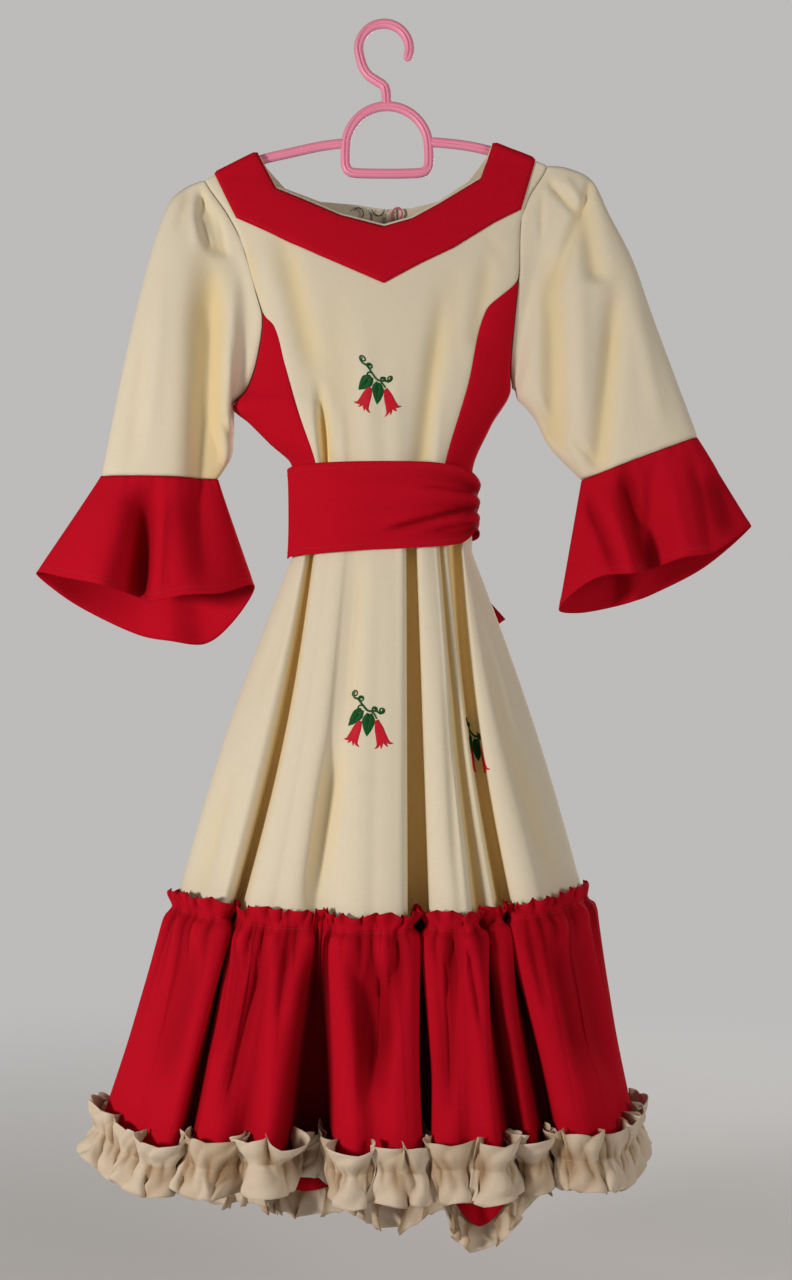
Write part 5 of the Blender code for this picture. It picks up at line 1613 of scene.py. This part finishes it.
turn = np.linspace(0, 1, SASH_COLUMNS, endpoint=False)
z_top, z_bottom, pleat = (
    glide(SASH_EDGES["place"], SASH_EDGES[column], turn) for column in ("z_top", "z_bottom", "pleat")
)
down = np.linspace(0, 1, SASH_LINES)[:, None]
z = z_top + (z_bottom - z_top) * down
sash_grid = np.concatenate([np.broadcast_to(sash_section(turn), (*z.shape, 2)), z[..., None]], axis=-1)
wander = 0.06 * np.sin(turn * 9 + 1.0) + 0.04 * np.sin(turn * 23)
ribs = (1 + np.cos((down + wander) * 2 * math.pi * SASH_PLEATS)) / 2
sash_lift = SASH_OFF + pleat * ribs + SASH_EDGE_LIFT * np.abs(2 * down - 1) ** 3
front_half = turn < 0.5
sash_pressed = crease_depth(SASH_CREASES, sash_grid[..., 0], sash_grid[..., 2]) * front_half
sash_lift = sash_lift - np.minimum(sash_pressed, sash_lift - 0.9)
sash_grid = sash_grid + ring_normals(sash_grid) * sash_lift[..., None]
# Painted shade in the sash's deeper creases and between its pleats.
sash = cloth(
    "sash", sash_grid, "red_cloth", ring=True, wall=SASH_WALL,
    in_fold=np.clip(sash_pressed - 1.0, 0, None) / 3 + (1 - ribs) * pleat / 4.5,
)
cut_size(sash, (0.40, 0.085), area=0.032)

# %% [markdown]
# ## Knot and tails
#
# The knot is a soft lump of the sash's own cloth, creased where the layers pass over each other. It starts as
# a sphere that is stretched and creased. The two tails are fluted strips that leave the knot and hang
# beside each other.

# %% Knot
KNOT_CENTRE, KNOT_HALF, KNOT_BEHIND_SASH = (4.0, -466.0), (21.0, 12.0, 25.0), 1.1
KNOT_Y = BODY_DEPTH["back"][-1] + SASH_OFF + KNOT_BEHIND_SASH + KNOT_HALF[1] + SOLID_WALL
bpy.ops.mesh.primitive_uv_sphere_add(segments=96, ring_count=48, radius=1.0)
knot = bpy.context.object
for vertex in knot.data.vertices:
    x, y, z = vertex.co
    around = math.atan2(z, x)
    crease = 1 - 0.12 * math.cos(5 * around)
    wrap = 0.07 * math.sin(9 * x + 3 * z) * (1 - y * y) + 0.05 * math.sin(14 * z - 5 * x + 2 * y)
    crease *= 1 + wrap
    vertex.co = (
        (KNOT_CENTRE[0] + KNOT_HALF[0] * x * crease) * MM,
        (KNOT_Y + KNOT_HALF[1] * y * (1 + 1.4 * wrap)) * MM,
        (KNOT_CENTRE[1] + KNOT_HALF[2] * z * crease) * MM,
    )
knot.data.uv_layers[0].name = "threads"
for corner in knot.data.uv_layers[0].data:
    corner.uv = (corner.uv[0] * 0.14, corner.uv[1] * 0.08)
knot.data.materials.append(finishes["red_cloth"])
knot.data.shade_smooth()
dress(knot, "sash_knot")

# %% Tails
TAIL_WIDTH, TAIL_FLUTE, TAIL_DRIFT = (28.0, 62.0), 3.2, 7.0
TAILS = table(
    "x_top z_top x_end z_end over_knot",
    ("left", -11, -478, -74, -610, 12.7),
    ("right", 22, -478, 96, -584, 7.6),
)
for i, name in enumerate(("left", "right")):
    start, end = points_of(TAILS, "x_top z_top")[i], points_of(TAILS, "x_end z_end")[i]
    way = unit(end - start)
    side_way = np.array((-way[1], way[0]))
    down = np.linspace(0, 1, 60)[:, None]
    across = np.linspace(-0.5, 0.5, 37)[None]
    width = TAIL_WIDTH[0] + (TAIL_WIDTH[1] - TAIL_WIDTH[0]) * down
    x = start[0] + (end - start)[0] * down + side_way[0] * across * width
    z = start[1] + (end - start)[1] * down + side_way[1] * across * width
    y = KNOT_Y + TAIL_DRIFT * down + TAILS["over_knot"][i] * (1 - smoothstep(down / 0.3))
    flute = TAIL_FLUTE * np.cos(across * 3 * math.pi + i + 0.25 * np.sin(down * 5)) * (1 - 0.4 * down)
    y = y + flute + 0.7 * np.sin(across * 17 + down * 3 + 2 * i)
    # Painted shade in the hollows of the tail's flutes.
    tail = cloth("sash_tail_" + name, np.stack([x, y, z], axis=-1), "red_cloth", in_fold=-flute / 6)
    cut_size(tail, (0.075, 0.15), area=0.0078)

# %% [markdown]
# ## Embroidered sprigs
#
# Each sprig is worked in satin stitch: threads laid side by side across a shape, so that the shape stands up
# from the cloth and shines along the threads. The motif is an ordinary one, drawn here by rule: two hanging
# bells with pointed lobes, two leaves and a curling stem. Every shape is a line with a width, and each is
# laid on the cloth by walking along the cloth's own rows and columns, so a sprig bends into a fold with its
# cloth.

# %% Laying a shape on cloth
def lay_on(grid, x, z, reach=60):
    """A rule that lays flat points on a grid, round the place that is seen from the front at x and z."""
    away = np.where(grid[..., 1] > 0, np.inf, np.hypot(grid[..., 0] - x, grid[..., 2] - z))
    row, column = np.unravel_index(np.argmin(away), away.shape)
    patch = grid[:, max(column - reach, 0) : column + reach + 1]
    column = min(column, reach)
    outward = ring_normals(patch, ring=False)
    outward *= -np.sign(outward[row, column, 1])
    across, down = run_along(patch, axis=1), run_along(patch[:, column])
    across -= across[:, column : column + 1]
    down -= down[row]

    def lay(u, v, height):
        at_row = np.interp(-v, down, np.arange(len(down)))
        upper = np.clip(at_row.astype(int), 0, len(down) - 2)
        lines = np.arange(patch.shape[1])
        at_column = np.reshape([np.interp(a, across[i], lines) for a, i in zip(u.flat, upper.flat)], u.shape)
        left = np.clip(at_column.astype(int), 0, len(lines) - 2)
        s, t = (at_row - upper)[..., None], (at_column - left)[..., None]

        def between(values):
            above = values[upper, left] * (1 - t) + values[upper, left + 1] * t
            below = values[upper + 1, left] * (1 - t) + values[upper + 1, left + 1] * t
            return above * (1 - s) + below * s

        return between(patch) + between(outward) * (CLOTH_WALL / 2 + height)[..., None]

    return lay


# %% Satin stitch
STITCH_PITCH, STITCH_HEIGHT = 0.00045, 0.75


def satin_thread(name, colour, darker):
    """Glossy thread that runs across each shape, so its fine bands follow one another along the shape."""
    made = plain_material(name, colour, 0.42)
    tree = made.node_tree
    shader = tree.nodes["Principled BSDF"]
    shader.inputs["Specular IOR Level"].default_value = 0.16
    uv = thread_map(tree)
    uneven = noise_node(tree, uv, 800.0, (0.1, 1.0, 1.0))
    tree.links.new(blend_colours(tree, uneven, darker, colour), shader.inputs["Base Color"])
    bands = thread_wave(tree, uv, "Y", STITCH_PITCH)
    raise_surface(tree, math_node(tree, "ADD", bands, uneven), 0.5, 0.0002)
    return made


def stitched(name, shapes, lay, finish, around=10, step=0.9):
    """One piece of closed rolls of stitches; a shape is its middle line and its widths along that line."""
    points, faces, corners = [], [], []
    for line, widths in shapes:
        path = smooth_path(line, step)
        ways = unit(np.gradient(path, axis=0))
        share = np.linspace(0, 1, len(path))
        half = glide(np.linspace(0, 1, len(widths)), widths, share)[:, None] / 2
        turn = np.linspace(0, 2 * math.pi, around, endpoint=False)
        side = np.cos(turn) * half
        rise = np.where(np.sin(turn) > 0, 1, 0.2) * np.sin(turn) * np.minimum(half, STITCH_HEIGHT)
        u = path[:, :1] - ways[:, 1:] * side
        v = path[:, 1:] + ways[:, :1] * side
        first, count = sum(len(group) for group in points), len(path)
        points.append(lay(u, v, rise).reshape(-1, 3))
        along = np.linspace(0, step * (count - 1), count)
        uv = np.stack(np.broadcast_arrays(side, along[:, None]), axis=-1).reshape(-1, 2) * MM
        for face in tube_faces(count, around):
            faces.append([first + corner for corner in face])
            corners.extend(uv[face].tolist())
    closed_piece(name, np.concatenate(points), faces, finish, corners)


# %% The motif
def turned(points, angle, place):
    """Points turned about the origin, in degrees anticlockwise, and then moved."""
    cos, sin = math.cos(math.radians(angle)), math.sin(math.radians(angle))
    return [(place[0] + x * cos - y * sin, place[1] + x * sin + y * cos) for x, y in points]


def bell(place, angle, length):
    """A hanging bell of four long petals that part into pointed lobes; the outer ones curl away."""
    petals = []
    for lean in (-1.0, 1.0, -0.36, 0.36):
        line = [
            (0.5 * lean, 0), (1.9 * lean, -0.3 * length), (2.9 * lean, -0.62 * length),
            (5.2 * lean, -0.85 * length), (8.6 * lean, -length * (1.0 - 0.08 * abs(lean))),
        ]
        petals.append((turned(line, angle, place), (2.8, 4.2, 4.8, 3.8, 0.7)))
    return petals


def leaf(place, angle, length, width):
    """A leaf in two halves, with its vein left open between them."""
    halves = []
    for side in (-1, 1):
        line = [
            (0.1 * width * side, 0), (0.25 * width * side, -0.28 * length),
            (0.17 * width * side, -0.6 * length), (0, -length),
        ]
        halves.append((turned(line, angle, place), (0.24 * width, 0.52 * width, 0.38 * width, 0.5)))
    return halves


def curl(place, angle, radius, side):
    """A tendril's spiral that starts at a place, heading at an angle, and winds to one side."""
    points = []
    for i in range(11):
        turn = i / 10 * 1.45 * 2 * math.pi
        now = radius * (1 - 0.72 * i / 10)
        points.append((now * math.sin(turn), side * (radius - now * math.cos(turn))))
    return turned(points, angle, place), (1.7, 1.5, 1.3)


# %% The three sprigs
STEM = [(-13.0, 21.5), (-8.0, 19.5), (-3.5, 14.0), (1.5, 9.0), (8.5, 9.0), (13.0, 6.5)]
SPRIG_THREADS = {
    "leaves": (satin_thread("green_thread", (0.004, 0.11, 0.018), (0.002, 0.06, 0.010)), [
        (STEM, (2.0, 2.0)),
        curl((-12.6, 21.6), 165, 3.6, -1), curl((-8.2, 19.7), 95, 2.9, -1),
        curl((9.0, 9.0), 55, 2.6, 1), curl((12.6, 6.8), -20, 2.9, 1),
        ([(-3.6, 14.0), (-7.0, 13.6), (-8.6, 10.0)], (1.7, 1.4)),
        ([(3.4, 9.0), (6.6, 6.6), (9.4, 2.0)], (1.7, 1.4)),
        *leaf((-4.4, 10.0), -40, 20.0, 11.0), *leaf((2.6, 6.4), -5, 21.0, 11.5),
    ]),
    "bells": (satin_thread("coral_thread", (0.78, 0.014, 0.035), (0.40, 0.003, 0.012)), [
        *bell((-5.6, -0.6), -22, 24.0), *bell((9.4, 0.6), 17, 27.0),
    ]),
}
SPRIGS = (
    ("bodice", front_grid, -7.0, -354.0),
    ("skirt", skirt_grid, -15.0, -659.0),
    ("fold", skirt_grid, 86.0, -684.0),
)
for place, grid, x, z in SPRIGS:
    lay = lay_on(grid, x, z)
    for part, (thread, shapes) in SPRIG_THREADS.items():
        stitched(f"sprig_{part}_{place}", shapes, lay, thread)

# %% [markdown]
# ## Sewing
#
# Seams that are stitched through from the right side show a row of short stitches: along both edges of the
# neck band and the sash, above the rolled hems of the cuffs, and on the lines that gather the flounce and the
# ruffle. Each stitch is a short bar with few faces that rises in its middle and dips into the cloth at both
# ends.

# %% Rows of stitches
STITCH_LENGTH, STITCH_SPACE, STITCH_RADIUS, STITCH_SIDES = 2.7, 0.9, 0.2, 5
STITCH_SHAPE = table(
    "share rise radius",
    ("goes in", 0, -0.12, 0.6),
    ("rises", 0.25, 0.12, 1),
    ("falls", 0.75, 0.12, 1),
    ("goes in again", 1, -0.12, 0.6),
)


def row_of_stitches(name, lines, finish, wall=CLOTH_WALL):
    """Stitches along lines of a cloth's middle surface; each line comes with the cloth's outward normals."""
    points, faces = [], []
    sides = np.linspace(0, 2 * math.pi, STITCH_SIDES, endpoint=False)
    for line, outward in lines:
        length, ways = run_along(line), unit(np.gradient(line, axis=0))
        for start in np.arange(0.6, length[-1] - STITCH_LENGTH, STITCH_LENGTH + STITCH_SPACE):
            faces.extend(tube_faces(len(STITCH_SHAPE["share"]), STITCH_SIDES, len(points)))
            for share, rise, radius in zip(*STITCH_SHAPE.values()):
                at = start + share * STITCH_LENGTH
                middle, up, way = (
                    np.array([np.interp(at, length, part[:, axis]) for axis in range(3)])
                    for part in (line, outward, ways)
                )
                side = np.cross(way, up)
                middle = middle + up * (wall / 2 + rise)
                points.extend(
                    middle + STITCH_RADIUS * radius * (np.cos(a) * side + np.sin(a) * up) for a in sides
                )
    closed_piece(name, points, faces, finish)


def sewing_thread(name, colour, darker):
    """Fine matt thread whose shade wanders a little along a seam."""
    made = plain_material(name, colour, 0.6)
    tree = made.node_tree
    shade = blend_colours(tree, noise_node(tree, object_place(tree), 300.0), darker, colour)
    tree.links.new(shade, tree.nodes["Principled BSDF"].inputs["Base Color"])
    return made


def grid_line(grid, row, ring=True, outward=1.0):
    """A row of a grid, closed where it is a ring, with its outward normals."""
    normal = ring_normals(grid, ring)[row] * outward
    line = grid[row]
    if ring:
        line, normal = np.concatenate([line, line[:1]]), np.concatenate([normal, normal[:1]])
    return line, normal


# %% Stitched seams
red_thread = sewing_thread("red_thread", (0.48, 0.004, 0.014), (0.30, 0.002, 0.008))
beige_thread = sewing_thread("beige_thread", (0.62, 0.52, 0.39), (0.44, 0.36, 0.26))
band_out = -np.sign(ring_normals(band_grid, ring=False)[..., 1].mean())
row_of_stitches("band_stitches", [grid_line(band_grid, row, False, band_out) for row in (1, -2)], red_thread)
row_of_stitches("sash_stitches", [grid_line(sash_grid, row) for row in (2, -3)], red_thread, SASH_WALL)
for name, outward in (("left", 1.0), ("right", -1.0)):
    row_of_stitches(f"cuff_stitches_{name}", [grid_line(cuff_shapes[name], -3, outward=outward)], red_thread)
row_of_stitches("flounce_stitches", [grid_line(flounce_grid, seam_row)], red_thread)
row_of_stitches("ruffle_stitches", [grid_line(ruffle_grid, gathering_row)], beige_thread, RUFFLE_WALL)

# %% [markdown]
# ## Inside the neck
#
# The front neckline is finished with a cream facing inside, whose turned edge shows as a thin pale line above
# the band. A concealed fastening closes the centre back: its two tapes are sewn inside the slit, with the
# nylon coil between them. A hook and a thread eye hold the top together, and a ribbon loop lets the dress
# hang on a peg.

# %% Facings
FACING_DEPTH, FACING_PROUD, FACING_INSIDE = 26.0, 2.6, 1.2


def facing_grid(edge, side):
    """A strip inside a neckline, from just above its edge down to FACING_DEPTH below it."""
    down = np.linspace(-FACING_PROUD, FACING_DEPTH, 12)[:, None]
    inwards = FACING_INSIDE * smoothstep((down + 0.4) / 2.0) + 0.3
    return body_point(edge[:, 0] + 0 * down, edge[:, 1] - down, side, -inwards + 0 * edge[:, 0])


facing = cloth("neck_facing", facing_grid(inner_line[4:-4], -1), "cream_cloth", wall=THIN_WALL)
cut_size(facing, (0.22, 0.1), area=0.0068)

# %% Concealed fastening
ZIP_TOP, ZIP_END, ZIP_INSIDE, TAPE_WIDTH = -171.0, -458.0, 1.9, 12.0
COIL_PITCH, COIL_REACH, COIL_RADIUS, POINTS_A_TURN = 1.6, 1.5, 0.45, 4
COIL_BELOW_TOP, COIL_BEHIND_TAPE, COIL_HALF_DEPTH = 2, 1.1, 0.5
for name, side_x in (("left", -1), ("right", 1)):
    across = np.linspace(0.6, TAPE_WIDTH, 9)[None] * side_x
    heights = np.linspace(ZIP_TOP, ZIP_END, 90)[:, None]
    x, z = np.broadcast_arrays(across, heights)
    tape_grid = body_point(x, z, 1, np.full(x.shape, -ZIP_INSIDE))
    tape = cloth("zip_tape_" + name, tape_grid, "cream_cloth", wall=THIN_WALL)
    cut_size(tape, (0.0115, 0.287))


NO_WIRE_RUNS_THIS_WAY = (0.31, 0.83, 0.47)


def coil_points():
    """The coil of the zip: a zigzag between the two tapes, a point at each turn and each crossing."""
    step = np.arange(int((ZIP_TOP - ZIP_END) / COIL_PITCH * POINTS_A_TURN))
    turn = step * math.pi / 2
    z = ZIP_TOP - COIL_BELOW_TOP - step * COIL_PITCH / POINTS_A_TURN
    return COIL_REACH * np.sin(turn), z, -ZIP_INSIDE - COIL_BEHIND_TAPE + COIL_HALF_DEPTH * np.cos(turn)


def wire(name, path, radius, finish, sides=5):
    """A round wire or cord along points: one ring of corners at each, and closed ends."""
    ways = unit(np.gradient(path, axis=0))
    first_side = unit(np.cross(ways, NO_WIRE_RUNS_THIS_WAY))
    second_side = np.cross(ways, first_side)
    turn = np.linspace(0, 2 * math.pi, sides, endpoint=False)[None, :, None]
    rings = np.cos(turn) * first_side[:, None] + np.sin(turn) * second_side[:, None]
    points = (path[:, None] + radius * rings).reshape(-1, 3)
    closed_piece(name, points, tube_faces(len(path), sides), finish)


nylon = sewing_thread("nylon_coil", (0.66, 0.58, 0.45), (0.56, 0.48, 0.36))
x, z, out = coil_points()
wire("zip_coil", body_point(x, z, 1, out), COIL_RADIUS, nylon)

# %% Hook, eye and ribbon loop
dark_thread = sewing_thread("dark_thread", (0.10, 0.07, 0.055), (0.05, 0.035, 0.03))
ribbon = sewing_thread("pink_ribbon", (0.70, 0.16, 0.22), (0.55, 0.09, 0.14))


def inside_back(points, behind):
    """Points of a small fitting that stands off the inside of the back, given as x and z."""
    return body_point(points[:, 0], points[:, 1], 1, np.full(len(points), -behind))


for name, finish, radius, step, behind, line in (
    ("neck_hook", dark_thread, 0.55, 0.7, 3.4,
     [(-29, -170), (-26, -167.5), (-22, -169), (-20, -173), (-22, -177), (-26, -178.5)]),
    ("thread_eye", dark_thread, 0.45, 0.7, 3.4,
     [(-12, -169), (-9.5, -173), (-5.5, -175), (-1.5, -173), (0.5, -169)]),
    ("ribbon_loop", ribbon, 0.9, 0.8, 3.8,
     [(10, -180), (7, -174), (10.5, -168.5), (15, -168), (17.5, -173), (14.5, -180)]),
):
    wire(name, inside_back(smooth_path(line, step), behind), radius, finish, 8)

# %% [markdown]
# ## Hanger
#
# The hanger is moulded plastic. A press pushes it out of its mould, so its bars have one section throughout:
# nearly round, with a groove along the front and the back that saves plastic. That section is drawn once as a
# circle with two dents and then extruded step by step along each bar's path, turned at every step.

# %% Bar section and paths
BAR_RADIUS, HOOK_RADIUS, HOOK_CENTRE = 4.6, 24.4, (0.0, -19.8)
ARM_BELOW_SEAM, ARM_END_SCALE = 6.3, 0.78
SECTION_POINTS, GROOVE = 40, 1.9


def arc(centre, radius, start, end, steps):
    angles = np.radians(np.linspace(start, end, steps + 1))
    return [(centre[0] + radius * math.cos(a), centre[1] + radius * math.sin(a)) for a in angles]


def hook_path():
    points = arc(HOOK_CENTRE, HOOK_RADIUS, -28, 200, 15)
    return points + [(-20.5, -36.5), (-15.5, -44.5), (-7.0, -50.5), (0.2, -55.5), (2.0, -62.0), (2.4, -76.0)]


def loop_path():
    centre, half_width, corner, low = (3.0, -114.5), 39.9, 8.0, -138.6
    left, right = centre[0] - half_width, centre[0] + half_width
    points = arc(centre, half_width, 0, 180, 12)
    points += arc((left + corner, low + corner), corner, 180, 270, 3)
    return points + arc((right - corner, low + corner), corner, 270, 360, 3)


ARMS = {
    "left": ([(-37, -110), (-60, -113), (-90, -119.5)], (-121, -145, -171), [(-187, -161.5), (-195, -166)]),
    "right": ([(43, -109), (62, -110.5), (84, -113.5)], (105, 130, 156), [(174, -146), (186, -151)]),
}


def arm_path(seen, under_seam, in_sleeve):
    """From inside the loop's side, under the shoulder seam, to the rounded end in the sleeve's head."""
    return seen + [(x, float(shoulder_line(x)) - ARM_BELOW_SEAM) for x in under_seam] + in_sleeve


print("points that lead the hook and the loop:", len(hook_path()), "and", len(loop_path()))


# %% Extruding a bar
def with_round_ends(path):
    """More points near both ends of a path, and the scale that rounds the bar off there."""
    length = run_along(path)
    tip = BAR_RADIUS * np.array((0, 0.06, 0.25, 0.55, 1.0))
    middle = length[(length > 1.3 * BAR_RADIUS) & (length < length[-1] - 1.3 * BAR_RADIUS)]
    where = np.concatenate([tip, middle, length[-1] - tip[::-1]])
    points = np.stack([np.interp(where, length, path[:, axis]) for axis in range(2)], axis=-1)
    from_end = np.clip(np.minimum(where, length[-1] - where) / BAR_RADIUS, 0.012, 1)
    return points, np.sqrt(1 - (1 - from_end) ** 2)


def extrude_bar(name, path, end_scale=1.0, closed=False):
    """A grooved bar along a path in the plane of the hanger, made by extruding its section step by step."""
    path, scales = (np.array(path), np.ones(len(path))) if closed else with_round_ends(np.array(path))
    scales *= 1 + (end_scale - 1) * smoothstep((np.linspace(0, 1, len(path)) - 0.4) / 0.6)
    ways = way_round(path, axis=0) if closed else np.gradient(path, axis=0)
    angles = np.unwrap(np.arctan2(ways[:, 1], ways[:, 0]))
    bpy.ops.mesh.primitive_circle_add(
        vertices=SECTION_POINTS, radius=BAR_RADIUS * MM, fill_type="NOTHING" if closed else "NGON",
        location=(path[0][0] * MM, 0, path[0][1] * MM), rotation=(0, math.pi / 2 - angles[0], 0),
    )
    made = bpy.context.object
    made.name = name
    bpy.ops.object.transform_apply(location=True, rotation=True, scale=True)
    for vertex in made.data.vertices:
        across = math.hypot(vertex.co.x / MM - path[0][0], vertex.co.z / MM - path[0][1])
        dent = GROOVE * math.exp(-(across**4))
        vertex.co.y -= math.copysign(dent * MM, vertex.co.y) if abs(vertex.co.y) > 1e-6 else 0
    bpy.ops.object.mode_set(mode="EDIT")
    bpy.ops.mesh.select_all(action="SELECT")
    start = (path[0][0] * MM, 0, path[0][1] * MM)
    bpy.ops.transform.resize(value=(scales[0],) * 3, center_override=start)
    for i in range(1, len(path)):
        move = (path[i] - path[i - 1]) * MM
        bpy.ops.mesh.extrude_region_move(TRANSFORM_OT_translate={"value": (move[0], 0, move[1])})
        centre_now = (path[i][0] * MM, 0, path[i][1] * MM)
        turned = angles[i] - angles[i - 1]
        if abs(turned) > 1e-5:
            bpy.ops.transform.rotate(value=turned, orient_axis="Y", center_override=centre_now)
        if abs(scales[i] / scales[i - 1] - 1) > 1e-5:
            bpy.ops.transform.resize(value=(scales[i] / scales[i - 1],) * 3, center_override=centre_now)
    if closed:
        bpy.ops.mesh.select_all(action="DESELECT")
        bpy.ops.mesh.select_non_manifold()
        bpy.ops.mesh.bridge_edge_loops()
    bpy.ops.mesh.select_all(action="SELECT")
    bpy.ops.mesh.normals_make_consistent(inside=False)
    bpy.ops.object.mode_set(mode="OBJECT")
    return made


# %% Bars
BAR_STEP = 4.0
bars = [
    extrude_bar("hook_bar", smooth_path(hook_path(), BAR_STEP)),
    extrude_bar("loop_bar", smooth_path(loop_path(), BAR_STEP, closed=True), closed=True),
]
for side, arm in ARMS.items():
    bars.append(extrude_bar(side + "_arm_bar", smooth_path(arm_path(*arm), BAR_STEP), ARM_END_SCALE))
for made in bars:
    corners = np.array([vertex.co for vertex in made.data.vertices]) / MM
    low, high = corners.min(axis=0), corners.max(axis=0)
    print(made.name, "from", low.round(1).tolist(), "to", high.round(1).tolist())

# %% Plastic finish
def moulded_plastic(name, colour, deeper):
    """Plastic whose colour wanders as it flowed into its mould, and whose shine is worn unevenly."""
    made = plain_material(name, colour, 0.3)
    tree = made.node_tree
    shader = tree.nodes["Principled BSDF"]
    place = object_place(tree)
    flow = noise_node(tree, place, 14.0, detail=3.0)
    tree.links.new(blend_colours(tree, flow, deeper, colour), shader.inputs["Base Color"])
    wear = noise_node(tree, place, 160.0, detail=4.0)
    rough = math_node(tree, "ADD", math_node(tree, "MULTIPLY", wear, 0.2), 0.36)
    tree.links.new(rough, shader.inputs["Roughness"])
    raise_surface(tree, flow, 0.05, 0.0003)
    return made


finishes["pink_plastic"] = moulded_plastic("pink_plastic", (0.90, 0.33, 0.46), (0.85, 0.27, 0.40))
select_only(bars[1], *bars)
bpy.ops.object.join()
hanger = bpy.context.object
hanger.data.materials.clear()
hanger.data.materials.append(finishes["pink_plastic"])
select_only(hanger)
bpy.ops.object.transform_apply(location=True, rotation=True, scale=True)
bpy.ops.object.shade_smooth_by_angle(angle=math.radians(50))
dress(hanger, "hanger")

# %% [markdown]
# ## Last look
#
# The triangles of all the pieces are added up. Cloth may stand a little proud of its solid, but the dress
# keeps its size.

# %% Triangles
print("triangles in all:", sum(triangles.values()))
